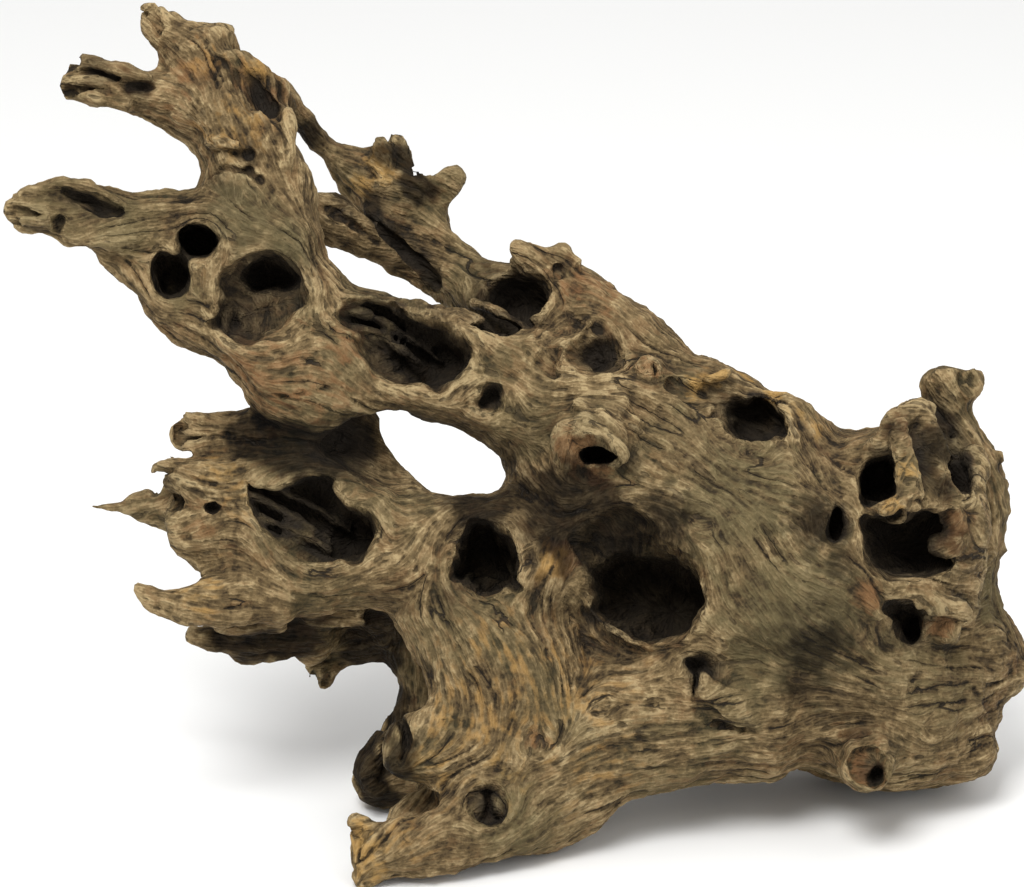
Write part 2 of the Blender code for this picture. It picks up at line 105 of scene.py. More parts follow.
# What is added to the skin: lofts with stations (across, down, out, half width, half depth). A loft that
# runs over the surface has its width in the view and its depth inwards. One that runs inwards has its width
# across the view and its depth up and down it.
ADDITIONS = {
    "under_web_left": [(108, 312, 25, 3.4, 8), (124, 314, 22, 4, 9), (144, 311, 19, 4, 9)],
    "under_web": [(152, 306, 14, 7, 7), (166, 308, 8, 7, 8), (184, 307, 8, 8, 8)],
    "neck_lobe": [(100, 36, 26, 12, 9), (106, 24, 24, 12.5, 9), (108, 16, 22, 10.5, 8)],
    "neck_flake": [(109, 27, 32, 2.5, 3), (121, 30, 31, 4.4, 5), (132, 36, 28, 5, 5), (140, 43, 23, 4.4, 4),
        (144, 51, 17, 3, 3)],
    "neck_spur": [(141, 82, 44, 6.5, 6), (144.5, 70, 43, 5, 5), (145, 60, 39, 3.8, 4),
        (144, 54, 36, 2.4, 3)],
    "neck_spur_left": [(134, 76, 43, 5, 4), (137, 65, 41, 3.5, 4), (138, 61, 40, 2, 3)],
    "neck_lip": [(103, 72, 41, 2.4, 3), (111, 70, 47, 4.2, 3.4), (120, 73, 50, 3.2, 3)],
    "branch_ridge": [(40, 28, 30, 2.6, 3), (50, 31.5, 35, 3.8, 4), (62, 36, 36, 3.8, 4),
        (76, 41, 34, 3, 3)],
    "branch_ridge_low": [(34, 47, 30, 2.6, 3), (50, 50, 34, 3.8, 4), (66, 53, 35, 3.6, 3)],
    "spike_ridge": [(10, 97, 56, 2.5, 3), (24, 93, 60, 3.4, 4), (38, 92, 60, 4.4, 5), (50, 97, 58, 4, 4.5),
        (64, 103, 52, 3, 3)],
    "spike_block": [(33, 117, 50, 5.5, 6), (45, 118, 53, 6.5, 7), (60, 117, 52, 7, 7)],
    "head_corner": [(64, 133, 42, 4.5, 4), (55, 129.5, 43, 3.5, 3.5), (50, 128, 43, 2, 2)],
    "rear_flake": [(188, 91, -25, 6.5, 5), (190, 77, -28, 6, 4.5), (191, 68, -31, 4.6, 4)],
    "rear_flake_right": [(199, 95, -29, 7, 4.6), (201.5, 81, -32, 5.6, 4), (201, 70, -33, 4.6, 3.6)],
    "dark_stub": [(203, 104, -30, 10, 6), (206, 94, -32, 7, 5), (209, 85, -33, 3.8, 3.6)],
    "stub_boss": [(302, 208, 34, 20, 18), (297, 218, 50, 20, 16.5), (293, 226, 58, 19.5, 14.5)],
    "crater_bar": [(262, 129, -4, 7, 5), (267, 137, 4, 6.2, 5), (271, 148, 7, 6, 5), (270, 161, 7, 7, 6)],
    "crater_knob": [(272, 131, -3, 7, 7), (281, 131, -1, 8, 7), (287, 135, 0, 6, 6)],
    "crater_lip": [(267, 166, 19, 2, 4), (276, 170, 26, 2.4, 5), (284, 171, 27, 2.4, 5),
        (291, 166, 22, 2, 5), (297, 160, 16, 1.8, 4)],
    "twig_knot": [(325, 187, 20, 9, 8.5), (324.5, 185.5, 31, 7.8, 7.8), (324, 184, 36, 6.2, 6.2)],
    "gold_shred": [(346, 194.5, 28, 1.3, 2.4), (355, 190, 29.5, 2.2, 2.4), (366, 186, 24, 1.3, 2)],
    "horn_middle": [(473, 192, 3, 5, 5), (474, 184.5, 2, 4.8, 4)],
    "horn_right": [(483, 200, 1, 4, 5), (488, 192, -2, 4, 4), (485, 185, -2, 2.4, 3)],
    "socket_bracket": [(464, 206, 28, 7, 6), (454, 207, 38, 7.4, 7), (446, 213, 44, 7, 7),
        (440, 223, 46, 5.4, 6), (434, 232, 44, 4, 5)],
    "socket_lobe": [(487, 226, 10, 6, 7), (489, 234, 14, 6, 7), (486, 243, 26, 4, 5)],
    "side_flake": [(430, 291, 61, 3.5, 3), (434, 300, 64, 4.5, 3), (441, 310, 60, 4, 3)],
    "side_flap": [(443, 298, 52, 4, 3), (456, 300, 50, 5.5, 3.4), (470, 303, 42, 5.5, 3.4),
        (484, 308, 30, 4, 3)],
    "side_knot": [(473, 318, 27, 7.5, 6), (476, 314, 35, 6.5, 6)],
    "edge_wart": [(499, 226, -4, 3, 3), (503, 232, -5, 2, 2.2)],
    "edge_wart_high": [(502, 240, -6, 3, 3), (505, 244, -7, 2, 2)],
    "edge_wart_middle": [(502, 254, -7, 3, 3), (505, 257.5, -8, 2, 2)],
    "edge_wart_low": [(499, 271, -8, 4, 4), (504, 277, -11, 2.4, 2.4)],
    "plate_chip": [(102, 210, 21, 4, 3), (91, 208, 16, 2.4, 2.2)],
    "plate_chip_low": [(99, 221, 18, 3.4, 3), (88.5, 219.5, 14, 2.2, 2.2)],
    "plate_tooth": [(107, 211, 18, 4, 4), (107.5, 206, 17, 2, 2.4)],
    "notched_tip": [(92, 233, 28, 4, 4), (83, 232, 27, 3.2, 3), (77, 233, 26, 1.8, 2)],
    "ledge": [(350, 338, 56, 3.6, 3), (357, 347, 56, 7, 4), (369, 354, 53, 7.5, 4), (384, 361, 46, 3.4, 3)],
    "pit_fill": [(412, 257, 52, 3.6, 8), (413, 266, 56, 4, 8), (419, 273, 58, 3, 6)],
    "low_knot_fill": [(434, 383, 50, 9, 8.5), (434, 383, 34, 9, 8.5)],
    "rear_foot_spur": [(203, 356, 2, 3.4, 4), (195, 358, 4, 3, 3.4), (189, 358.5, 4, 2.2, 2.6)],
    "rear_foot_fold": [(196, 366, 4, 4, 5), (189, 376, 4, 5, 5), (184, 388, -2, 5, 5),
        (190, 397, -4, 5, 5)],
    "rear_foot_fold_left": [(190, 366, -2, 3, 4), (182, 378, -4, 3.4, 4), (178, 390, -8, 3, 4)],
    "deep_rim": [(292, 301, 42, 2, 3), (302, 311, 47, 2.4, 3.2), (320, 322.5, 49, 2.6, 3.4),
        (337, 321, 54, 2.2, 3.2), (350, 311, 61, 2, 3)],
}

# Ridges that stand in the hollows, added once these are cut
INNER_RIDGES = {
    "foot_lobe": [(237, 397, 52, 5, 6), (237.5, 408, 54, 4.5, 5)],
    "foot_lobe_right": [(250.5, 397, 54, 5, 6), (250, 408, 56, 4.5, 5)],
    "socket_post": [(449, 211, 50, 4, 3), (451, 223, 58, 5.6, 3.4), (453, 236, 63, 7, 3.6),
        (455, 250, 64, 7.4, 4.4)],
    "socket_plate": [(461, 209, 38, 6, 4), (465, 220, 44, 8, 4), (467, 234, 49, 9, 4.4),
        (468, 246, 50, 8, 5)],
    "socket_shelf": [(432, 254, 52, 3.4, 4), (441, 255, 59, 4, 5), (449, 250.5, 63, 3.4, 5),
        (459, 253, 60, 3.4, 4)],
    "socket_step": [(448, 257, 30, 6, 5), (447, 257, 56, 5.5, 4.5)],
    "socket_chunk": [(489, 257, 34, 6, 6), (479, 258, 44, 7, 6.4), (470, 260, 40, 5, 5)],
    "socket_chunk_low": [(487, 271, 32, 6, 6), (477, 272, 41, 8, 6.4), (466, 273, 36, 5, 5.4)],
    "head_bump": [(119, 173, 38, 8, 7), (129, 165, 37, 9, 7), (140, 156, 32, 9, 7)],
    "head_fin": [(112, 166, 44, 2, 3), (114, 154, 38, 2.4, 4), (120, 142, 30, 2, 4)],
    "trough_fibre": [(170, 155, 38, 2, 3), (186, 158, 27, 2.2, 4), (204, 169, 14, 2.2, 4),
        (222, 182, 4, 2, 4)],
    "trough_fibre_high": [(184, 148, 36, 1.8, 3), (198, 155, 24, 2, 4), (216, 168, 10, 2, 4)],
    "trough_fibre_low": [(176, 163, 34, 1.8, 3), (194, 170, 22, 2.2, 4), (212, 184, 12, 2, 4)],
    "flare_rib": [(126, 247, 33, 2, 3), (144, 257, 28, 2.6, 3.4), (168, 272, 18, 2.4, 4)],
    "flare_rib_high": [(136, 243, 31, 1.6, 3), (154, 252, 22, 2, 3.4), (176, 266, 8, 2, 4)],
    "flare_rib_low": [(130, 258, 33, 1.6, 3), (148, 266, 30, 2.2, 3), (166, 276, 26, 2, 3)],
    "crater_tongue": [(237, 151, 0, 2, 4), (246, 155, 5, 2.2, 7), (256, 160, 5, 2.2, 7),
        (263, 164, 1, 2.4, 6)],
    "low_knot_core": [(427, 380, 40, 3, 5), (430, 388, 40, 3, 4)],
}

# What is carved out, as lofts
CARVINGS = {
    "deep_funnel": [(298, 256, 92, 29, 15), (306, 268, 62, 25, 15), (316, 286, 40, 20, 14)],
    "crater": [(256, 143, 34, 18, 11), (258, 148, 8, 18, 12), (263, 153, -16, 12, 10)],
    "crater_low": [(247, 165, 34, 12, 6), (249, 165, 2, 11, 6)],
    "crater_bowl": [(284, 146, 40, 7, 9), (284, 153, 20, 8, 10)],
    "crater_pit": [(279, 136, 30, 4, 5), (279, 137, -2, 4, 5)],
    "scoop_slope": [(264, 177, 44, 6, 5), (282, 181, 37, 11, 7)],
    "long_scoop": [(335, 191, 34, 4, 7), (350, 196, 38, 8, 14), (366, 202, 37, 10, 17),
        (384, 210, 32, 8, 16)],
    "crest_crack": [(364, 187.5, 28, 1.1, 6), (377, 192, 25, 1.3, 7), (391, 200, 22, 1.3, 7),
        (407, 213, 26, 1, 6)],
    "neck_trough": [(111, 32, 36, 3, 5), (118, 38, 39, 4.6, 8), (128, 46, 39, 5.4, 10),
        (139, 57, 34, 4, 9)],
    "neck_slot": [(114, 43, 39, 1.8, 5), (120, 49, 41, 2.8, 7), (127, 56, 43, 1.8, 5)],
    "neck_crack": [(103, 77, 43, 1.4, 5), (112, 75, 47, 1.7, 6), (120, 77, 49, 2, 7),
        (127, 77, 47, 1.2, 4)],
    "neck_hole": [(124.5, 77, 70, 2.6, 2.6), (124.5, 77, 38, 2.4, 2.4)],
    "neck_hole_low": [(124, 85, 70, 2.4, 2), (124, 85, 40, 2.2, 1.8)],
    "neck_seam": [(94, 97, 50, 1.6, 5), (103, 89, 48, 2, 7), (112, 84, 50, 2.2, 7), (123, 86, 52, 2, 7),
        (134, 92, 50, 1.4, 5)],
    "branch_slot": [(40, 35, 37, 1.8, 6), (51, 36.5, 38, 2.4, 8), (61, 40, 37, 1.8, 6)],
    "branch_pit": [(62, 45, 40, 3, 7), (71, 43.5, 40, 4.4, 11), (79, 44, 39, 3.4, 8)],
    "branch_groove": [(30, 44, 32, 1.2, 4), (46, 44, 36, 1.5, 4), (58, 47, 37, 1.2, 4)],
    "spike_groove": [(32, 95, 61, 2, 6), (42, 99, 61, 3.6, 10), (53, 104, 59, 3.8, 10),
        (62, 107, 55, 2.2, 6)],
    "spike_line": [(6, 104, 56, 1.2, 4), (18, 107, 59, 1.4, 5), (30, 110, 59, 1.4, 5)],
    "spike_split": [(30, 109, 60, 1.8, 6), (28, 116, 56, 1.6, 6), (29, 124, 50, 1.6, 6)],
    "cup_shadow": [(172, 98, 4, 2, 8), (182, 103, -6, 3.4, 12), (194, 108, -14, 3, 10)],
    "cup_hollow": [(183, 84, -18, 3.4, 6), (187, 91, -18, 4, 7)],
    "strand_groove": [(176, 103, -20, 2, 6), (190, 115, -18, 3, 8), (205, 128, -20, 3.4, 8),
        (222, 146, -24, 2.4, 7)],
    "strand_line": [(160, 102, 14, 1.6, 5), (176, 112, 3, 1.8, 6), (192, 124, -10, 1.6, 6)],
    "plate_notch": [(92, 227, 50, 5, 1.5), (94, 227, -4, 5, 1.5)],
    "plate_split": [(94, 219, 20, 1.2, 6), (108, 217, 25, 1.4, 6), (122, 219, 27, 1.2, 5)],
    "edge_bite": [(76, 243, 40, 4, 5), (79, 243, -10, 4, 5)],
    "small_eye": [(87, 251, 66, 3.8, 4.2), (88, 252, 16, 3.4, 3.6)],
    "small_eye_right": [(105, 254, 70, 2.6, 2.6), (106, 254, 24, 2.2, 2.2)],
    "eye_notch": [(80, 240, 40, 2, 8), (82, 247, 38, 1.6, 6)],
    "jaw_pit": [(106, 162, 72, 4, 3), (107, 162, 44, 3, 3)],
    "jaw_slit": [(112, 176, 45, 1.2, 4), (126, 182, 50, 1.5, 5), (140, 184, 58, 1.2, 5)],
    "jaw_slit_low": [(134, 199, 53, 1.2, 5), (152, 197, 58, 1.6, 6), (170, 192, 53, 1.2, 5)],
    "pit": [(417, 264, 70, 4.5, 8), (419, 264, 36, 4, 7)],
    "ledge_shade": [(344, 354, 50, 1, 4), (356, 361, 50, 1.6, 5), (370, 365, 47, 1.6, 5),
        (388, 369, 38, 1.2, 5)],
    "lump_cleft": [(198, 357, 42, 2, 8), (202, 364, 48, 2.6, 10), (203, 374, 53, 2.4, 9),
        (200, 383, 52, 2, 7)],
    "horn_crease": [(463, 184, 8, 1.4, 5), (469, 193, 10, 1.6, 6), (471, 204, 8, 1.2, 4)],
    "horn_crease_right": [(481, 177, 2, 1.4, 5), (481.5, 186, 4, 1.6, 5), (480, 195, 6, 1.2, 4)],
    "horn_foot": [(465, 206, 8, 1.6, 6), (467, 217, 8, 2.2, 8), (469, 227, 8, 1.6, 6)],
    "horn_foot_right": [(475, 207, 7, 1.4, 6), (476, 222, 7, 2, 8)],
    "limb_crack": [(210, 361, 47, 1, 5), (222, 361, 53, 1.4, 6), (242, 365, 54, 1, 5)],
    "limb_crack_low": [(228, 381, 58, 1, 4), (246, 379, 59, 1.4, 5), (261, 389, 60, 1, 4)],
    "lump_crack": [(196, 356, 40, 1.2, 6), (206, 353, 46, 1.6, 6), (219, 352, 49, 1.2, 5)],
    "foot_slit": [(243, 394, 62, 1.6, 9), (245, 404, 60, 1.8, 10), (244, 412, 62, 1.4, 8)],
    "right_crack": [(480, 337, 16, 1, 5), (490, 348, 9, 1.3, 6), (502, 360, -6, 1, 5)],
    "right_crack_low": [(470, 352, 27, .9, 4), (482, 366, 18, 1.2, 5), (492, 372, 8, .9, 4)],
    "mouth": [(190, 400, 76, 14, 6), (206, 401, 56, 13, 7), (218, 401, 40, 8, 5)],
    "back_high": [(360, 250, -110, 22, 12), (358, 252, -74, 20, 12), (352, 254, -40, 12, 9)],
    "back_low": [(425, 350, -110, 15, 19), (424, 348, -74, 14, 17), (422, 344, -44, 9, 11)],
}

# What is carved out by its outline in the view: (out of the mouth, depth, share of the width left at the
# bottom, outline of the mouth)
MOUTHS = {
    "deep_hollow": (55, 66, 0.72, [(295, 300), (299, 309), (322, 320), (332, 322), (343, 318), (350, 310),
        (352, 299), (343, 285), (330, 278), (316, 274), (302, 276), (294, 286)]),
    "triangle": (48, 54, 0.72, [(225, 290), (229, 277), (234, 262), (240, 260), (247, 262), (254, 275),
        (261, 292), (263, 295), (250, 294), (235, 289)]),
    "flare_hollow": (42, 32, 0.8, [(123, 241), (129, 243), (140, 244), (150, 239), (165, 238), (170, 245),
        (175, 254), (185, 259), (188, 266), (186, 273), (181, 280), (174, 281), (160, 273), (145, 270),
        (131, 265), (125, 257)]),
    "flare_deep": (40, 33, 0.7, [(170, 256), (177, 256), (186, 262), (187, 270), (182, 278), (175, 279),
        (170, 272), (168, 264)]),
    "trough": (50, 41, 0.66, [(168, 159), (172, 149), (182, 144), (191, 143), (198, 150), (206, 158),
        (222, 164), (231, 172), (232, 183), (228, 193), (222, 200), (214, 196), (207, 190), (199, 181),
        (190, 174), (179, 169)]),
    "head_hollow": (56, 15, 0.8, [(109, 152), (110, 139), (118, 131), (130, 127), (142, 129), (151, 137),
        (156, 148), (150, 156), (144, 160), (136, 166), (128, 172), (118, 173), (111, 167)]),
    "head_left": (50, 20, 0.6, [(109, 152), (114, 150), (119, 155), (119, 164), (115, 170), (110, 164)]),
    "head_deep": (46, 27, 0.6, [(120, 138), (126, 131), (140, 131), (149, 138), (146, 144), (134, 144),
        (124, 146)]),
    "eye_left": (58, 33, 0.75, [(76, 128), (81, 124), (88, 126), (94, 132), (95, 142), (91, 149), (84, 150),
        (78, 145), (75, 137)]),
    "eye_right": (62, 46, 0.75, [(89, 118), (93, 113), (101, 113), (108, 117), (110, 123), (106, 129),
        (98, 130), (91, 126)]),
    "slot": (38, 12, 0.6, [(236, 203), (240, 197), (246, 193), (251, 194), (250, 200), (245, 204),
        (239, 207)]),
    "scoop": (38, 11, 0.8, [(283, 173), (289, 167), (296, 161), (303, 161), (308, 168), (308, 180),
        (303, 187), (295, 189), (288, 186), (283, 180)]),
    "scoop_deep": (34, 20, 0.6, [(293, 184), (297, 179), (303, 177), (307, 181), (303, 187), (296, 189)]),
    "stub_face": (66, 5, 0.8, [(279, 227), (282, 220), (289, 217), (297, 217), (305, 221), (308, 227),
        (305, 234), (297, 237), (288, 237), (281, 234)]),
    "stub_hollow": (62, 34, 0.5, [(288, 227), (294, 222), (301, 222), (308, 225), (311, 229), (305, 232),
        (297, 232), (291, 231)]),
    "top_hollow": (34, 38, 0.62, [(358, 206), (363, 200), (372, 200), (377, 197), (386, 198), (391, 206),
        (394, 214), (392, 220), (382, 218), (370, 214), (361, 210)]),
    "twig_hole": (36, 10, 0.5, [(326, 180), (329, 183), (329, 188), (326, 189), (325, 184)]),
    "socket_left": (54, 42, 0.75, [(429, 240), (432, 231), (440, 228), (448, 229), (450, 238), (447, 249),
        (440, 252), (432, 250)]),
    "socket_low": (56, 44, 0.78, [(429, 262), (434, 258), (442, 261), (452, 263), (462, 260), (470, 256),
        (478, 254), (484, 261), (485, 272), (479, 282), (468, 289), (454, 291), (441, 289), (433, 280)]),
    "socket_right": (46, 36, 0.6, [(476, 238), (478, 230), (484, 227), (488, 235), (487, 245), (480, 248)]),
    "socket_top": (50, 30, 0.75, [(459, 215), (464, 209), (472, 210), (478, 220), (478, 233), (473, 239),
        (466, 237), (461, 227)]),
    "side_hollow": (52, 36, 0.6, [(442, 303), (446, 299), (452, 299), (458, 305), (463, 313), (464, 320),
        (460, 323), (455, 319), (450, 312), (444, 308)]),
    "side_spot": (36, 14, 0.6, [(483, 312), (487, 314), (486, 320), (482, 319)]),
    "small_hollow": (54, 14, 0.6, [(340, 328), (346, 324), (353, 326), (356, 331), (351, 335), (350, 342),
        (347, 350), (345, 350), (345, 342), (346, 338), (342, 335)]),
    "low_knot": (56, 11, 0.8, [(422, 381), (428, 373), (440, 373), (446, 380), (445, 391), (437, 395),
        (427, 391)]),
    "low_knot_deep": (47, 12, 0.5, [(433, 389), (439, 380), (443, 385), (441, 392), (436, 394)]),
    "foot_knot": (62, 5, 0.8, [(233, 401), (237, 394), (245, 392), (253, 396), (254, 405), (248, 411),
        (239, 411)]),
}

# Torn ends of the limbs: (across, down, out) of the end, the way it points, half height, half depth, length
TORN_ENDS = {
    "branch": ((37, 39, 28), (-1, -0.15, 0.1), 11, 6, 11),
    "spike": ((9, 105, 52), (-1, -0.05, 0.15), 8, 6, 9),
    "neck": ((78, 9, 16), (-0.5, -1, -0.2), 8, 5, 7),
    "plate": ((93, 215, 15), (-1, -0.15, -0.2), 8, 2.5, 6),
    "notched": ((82, 233, 27), (-1, 0, 0), 6, 5, 5),
    "tooth": ((177, 424, 63), (-1, -0.1, 0.1), 13, 8, 6),
    "rear": ((197, 71, -34), (-0.1, -1, 0), 9, 4, 6),
    "dark": ((209, 88, -32), (0.1, -1, 0), 5, 4, 4),
    "horn": ((476, 190, 1), (-0.1, -1, 0), 11, 5, 4),
    "under": ((160, 340, -20), (0, 1, 0.1), 6, 5, 5),
    "back_limb": ((369, 205, -106), (-0.5, -0.5, -0.6), 8, 8, 8),
}
SPLINTERS = 8
SPLINTER_RADIUS = 3.1

# Knots and mouths that the grain swerves round: (across, down, radius, rim height)
KNOTS = {
    "eye_left": (85, 138, 12, 0.9),
    "eye_right": (99, 121, 11, 0.7),
    "head": (130, 148, 25, 0.6),
    "long_hollow": (206, 168, 30, 0.8),
    "crater": (254, 146, 24, 0.8),
    "scoop": (290, 172, 19, 1.0),
    "small_knot": (324, 184, 8, 0.0),
    "slot": (243, 201, 10, 0.5),
    "stub": (292, 228, 20, 0.0),
    "top": (376, 208, 22, 0.8),
    "crater_right": (460, 256, 40, 0.8),
    "side": (452, 310, 17, 1.0),
    "side_knot": (472, 313, 9, 0.4),
    "deep": (320, 292, 40, 0.8),
    "triangle": (243, 278, 24, 0.0),
    "flare": (160, 262, 32, 0.8),
    "foot_knot": (244, 402, 13, 0.7),
    "low_knot": (433, 385, 13, 0.0),
    "swirl_left": (352, 262, 7, 0.3),
    "swirl_low": (300, 352, 7, 0.4),
    "swirl_bulb": (468, 362, 8, 0.5),
    "swirl_neck": (124, 100, 5, 0.4),
    "swirl_arch": (268, 372, 8, 0.8),
    "small_eye": (87, 251, 6, 0.8),
    "pit": (417, 263, 10, 1.0),
    "ledge": (350, 334, 12, 0.8),
}

# Stains, and patches of painted shade: (across, down, radius, strength), by colour
STAINS_AND_SHADE = {
    "rust": [
        (281, 278, 9, 0.9), (178, 172, 18, 0.5), (292, 140, 16, 0.6), (300, 150, 12, 0.5),
        (434, 298, 9, 0.9), (470, 313, 9, 0.7), (92, 118, 10, 0.35), (98, 42, 24, 0.4), (60, 44, 16, 0.35),
        (268, 371, 8, 0.6), (125, 38, 12, 0.7), (138, 48, 9, 0.7), (132, 185, 30, 0.5),
        (155, 195, 26, 0.45), (103, 262, 14, 0.35), (243, 403, 10, 0.6), (433, 386, 12, 0.7),
        (287, 227, 12, 0.95), (298, 236, 9, 0.7), (452, 210, 8, 0.5), (478, 262, 10, 0.8),
        (474, 272, 9, 0.6), (324, 184, 8, 0.6), (470, 264, 12, 0.55), (190, 190, 20, 0.35),
        (430, 375, 22, 0.3),
    ],
    "gold": [
        (358, 188, 9, 1.0), (349, 192, 8, 0.7), (386, 196, 9, 0.7), (398, 205, 8, 0.45), (408, 213, 7, 0.4),
        (372, 189, 7, 0.8), (453, 236, 8, 0.55), (446, 254, 8, 0.5), (240, 360, 40, 0.34),
        (280, 345, 36, 0.32), (215, 385, 20, 0.4), (300, 380, 30, 0.26), (181, 422, 12, 0.7),
        (185, 434, 12, 0.6), (188, 84, 12, 0.6), (180, 92, 9, 0.6), (118, 75, 10, 0.4), (64, 90, 12, 0.4),
        (116, 60, 22, 0.35), (104, 30, 14, 0.3), (130, 36, 10, 0.7), (100, 295, 16, 0.4),
        (112, 235, 14, 0.4), (120, 250, 12, 0.3), (276, 280, 9, 0.6), (385, 212, 7, 0.5),
        (250, 330, 30, 0.3), (200, 420, 16, 0.3),
    ],
    "olive": [
        (370, 250, 44, 0.7), (400, 310, 46, 0.8), (120, 105, 24, 0.7), (146, 120, 20, 0.6),
        (300, 205, 24, 0.3), (470, 340, 40, 0.5), (255, 410, 28, 0.6), (95, 142, 18, 0.6),
        (230, 170, 16, 0.3), (340, 215, 24, 0.4), (440, 330, 30, 0.5), (495, 300, 26, 0.6),
        (350, 300, 30, 0.5), (60, 110, 22, 0.5), (30, 104, 24, 0.5), (100, 280, 20, 0.3),
    ],
    # Painted shade under overhangs, behind limbs and in hollows, with a few patches of dark wood
    "shade_and_dark_wood": [
        (190, 315, 14, 1.4), (186, 328, 14, 1.4), (194, 338, 13, 1.4), (199, 350, 9, 1.3),
        (184, 372, 12, 1.5), (202, 364, 8, 1.3), (203, 376, 8, 1.2), (198, 384, 9, 1.4), (197, 357, 7, 1.3),
        (192, 398, 9, 1.3), (182, 382, 12, 1.5), (184, 394, 12, 1.5), (191, 362, 9, 1.4),
        (189, 400, 10, 1.4), (128, 219, 15, 1.5), (145, 223, 17, 1.5), (162, 227, 18, 1.4),
        (178, 220, 13, 1.2), (207, 94, 8, 1.5), (214, 96, 5, 0.9), (192, 78, 8, 0.8), (201, 78, 8, 1.0),
        (206, 86, 6, 1.2), (185, 104, 9, 1.1), (197, 114, 8, 0.8), (288, 256, 26, 1.2), (306, 264, 24, 1.2),
        (330, 262, 18, 0.8), (276, 300, 12, 0.4), (408, 322, 24, 0.75), (400, 340, 18, 0.6),
        (384, 322, 16, 0.4), (416, 350, 18, 0.4), (240, 254, 20, 1.0), (222, 246, 16, 0.8),
        (260, 248, 16, 0.8), (408, 262, 16, 0.8), (420, 282, 12, 0.6), (206, 168, 30, 0.6),
        (186, 158, 18, 0.6), (250, 146, 20, 0.6), (440, 250, 18, 0.6), (458, 276, 22, 0.6),
        (84, 243, 8, 0.6), (128, 322, 16, 1.2), (146, 322, 16, 1.3), (112, 318, 12, 1.0), (48, 34, 12, 0.5),
        (68, 44, 10, 0.8), (120, 160, 14, 0.4), (128, 134, 12, 0.5), (350, 334, 12, 0.7),
        (468, 222, 12, 1.0), (480, 236, 10, 1.0), (472, 213, 9, 0.9), (465, 228, 10, 0.8),
        (472, 244, 9, 0.7), (447, 214, 7, 0.6), (438, 226, 6, 0.6), (478, 268, 12, 0.5),
        (440, 268, 12, 0.8), (456, 212, 9, 0.5), (293, 222, 12, 0.35), (152, 312, 16, 0.7),
        (108, 40, 6, 0.4), (130, 48, 8, 0.9), (138, 56, 7, 0.9), (161, 84, 10, 0.8), (154, 68, 11, 0.9),
        (148, 54, 8, 0.7), (170, 98, 11, 0.7), (110, 88, 10, 0.5), (124, 80, 8, 0.6), (112, 96, 10, 0.4),
        (50, 102, 10, 0.5), (112, 108, 26, 0.3), (146, 128, 22, 0.3), (100, 60, 20, 0.25),
        (150, 262, 24, 0.5), (170, 268, 16, 0.6), (300, 176, 12, 0.6), (376, 208, 16, 0.5),
        (270, 216, 12, 0.4), (256, 226, 14, 0.5), (430, 352, 20, 0.4), (224, 300, 10, 0.4),
        (196, 300, 12, 0.4),
    ],
}

# Colours of the wood, in linear light
# The darkest brown of the wood, also painted into the broad hollows as shade
DARKEST_WOOD_AND_SHADE = (0.019, 0.014, 0.0085, 1)
BROWN = (0.056, 0.037, 0.018, 1)
MIDDLE = (0.112, 0.076, 0.035, 1)
TAN = (0.205, 0.143, 0.069, 1)
PALE = (0.360, 0.268, 0.138, 1)
OLIVE = (0.095, 0.083, 0.039, 1)
RUST = (0.185, 0.085, 0.034, 1)
GOLD = (0.380, 0.225, 0.070, 1)
# Not a colour of the wood: the near-black of the painted shade in the hollows and the cracks
PAINTED_SHADE = (0.019, 0.015, 0.011, 1)

# What the patches of painted shade, some of them dark wood, leave of each colour
SHADE_AND_DARK_WOOD_MULTIPLIER = (0.075, 0.068, 0.06, 1)

# Where the wood turns from each colour to the next, from the darkest brown on, as its lightness grows
COLOUR_STEPS = ((0.58, 0.92, BROWN), (0.80, 1.16, MIDDLE), (1.10, 1.50, TAN), (1.42, 1.80, PALE))

# The stains that tint the wood, with their strengths
TINTS = (("olive", OLIVE, 0.60), ("rust", RUST, 0.62), ("gold", GOLD, 0.75))

# Share of each pattern in the wood's lightness and in its bump
LIGHTNESS_START = -0.845
LIGHTNESS_SHARES = {"fine": 0.26, "medium": 0.20, "broad": 0.18, "hump": 0.40, "swell": 0.44,
                    "patches": 1.0, "blotches": 0.95, "specks": 0.75, "groove": -0.14}
BUMP_SHARES = {"fine": 0.34, "medium": 0.55, "broad": 0.50, "crack": -0.90, "dashes": -0.50,
               "blotches": 0.90, "specks": 0.50}
BUMP_HEIGHT = 1.3

# Relief, in millimetres
FLUTE_LENGTH = 12.0
FLUTE_HEIGHT = 0.55
RIDGE_LENGTH = 4.6
RIDGE_HEIGHT = 0.38
CRACK_LENGTH = 8.0
CRACK_DEPTH = 1.3
LUMP_HEIGHT = 1.7
LUMP_LENGTH = 34.0
DENT_LENGTH = 11.0
DENT_HEIGHT = 1.5
WEAR_LENGTH = 5.5
FINE_WEAR_LENGTH = 2.8
WEAR_HEIGHT = 0.7
CHIP_LENGTH = 12.0
CHIP_HEIGHT = 2.0
CHIPPED_LENGTH = 30.0
CRACKED_LENGTH = 22.0
STRENGTH_LENGTH = 38.0
WANDER_LENGTH = 26.0
STAIN_AND_SHADE_WOBBLE_LENGTH = 7.0
RELIEF_LIMIT = 3.4

# The studio: lamps are (name, place, what they aim at, size, power)
WORLD_LIGHT = 0.46
LAMPS = (
    ("key", (-0.6, -1.5, 2.5), (0, 0, 0.15), 1.2, 70),
    ("overhead", (0, 1.8, 4.5), (0, 1.8, 0), 7.0, 130),
    ("fill", (1.6, -1.4, 1.2), (0, 0, 0.15), 1.6, 15),
)
FLOOR_HALF_SIDE = 8.0

# How far values are smeared along the grain, and by how many doublings of that step
GRAIN_STEP = 2.6
STREAM_DOUBLINGS = 3

# How openness to the sky is worked out: rays from each point, their length, and the share of faces tested
SKY_RAYS = 34
SKY_REACH = 70.0
SKY_SHARE = 0.14


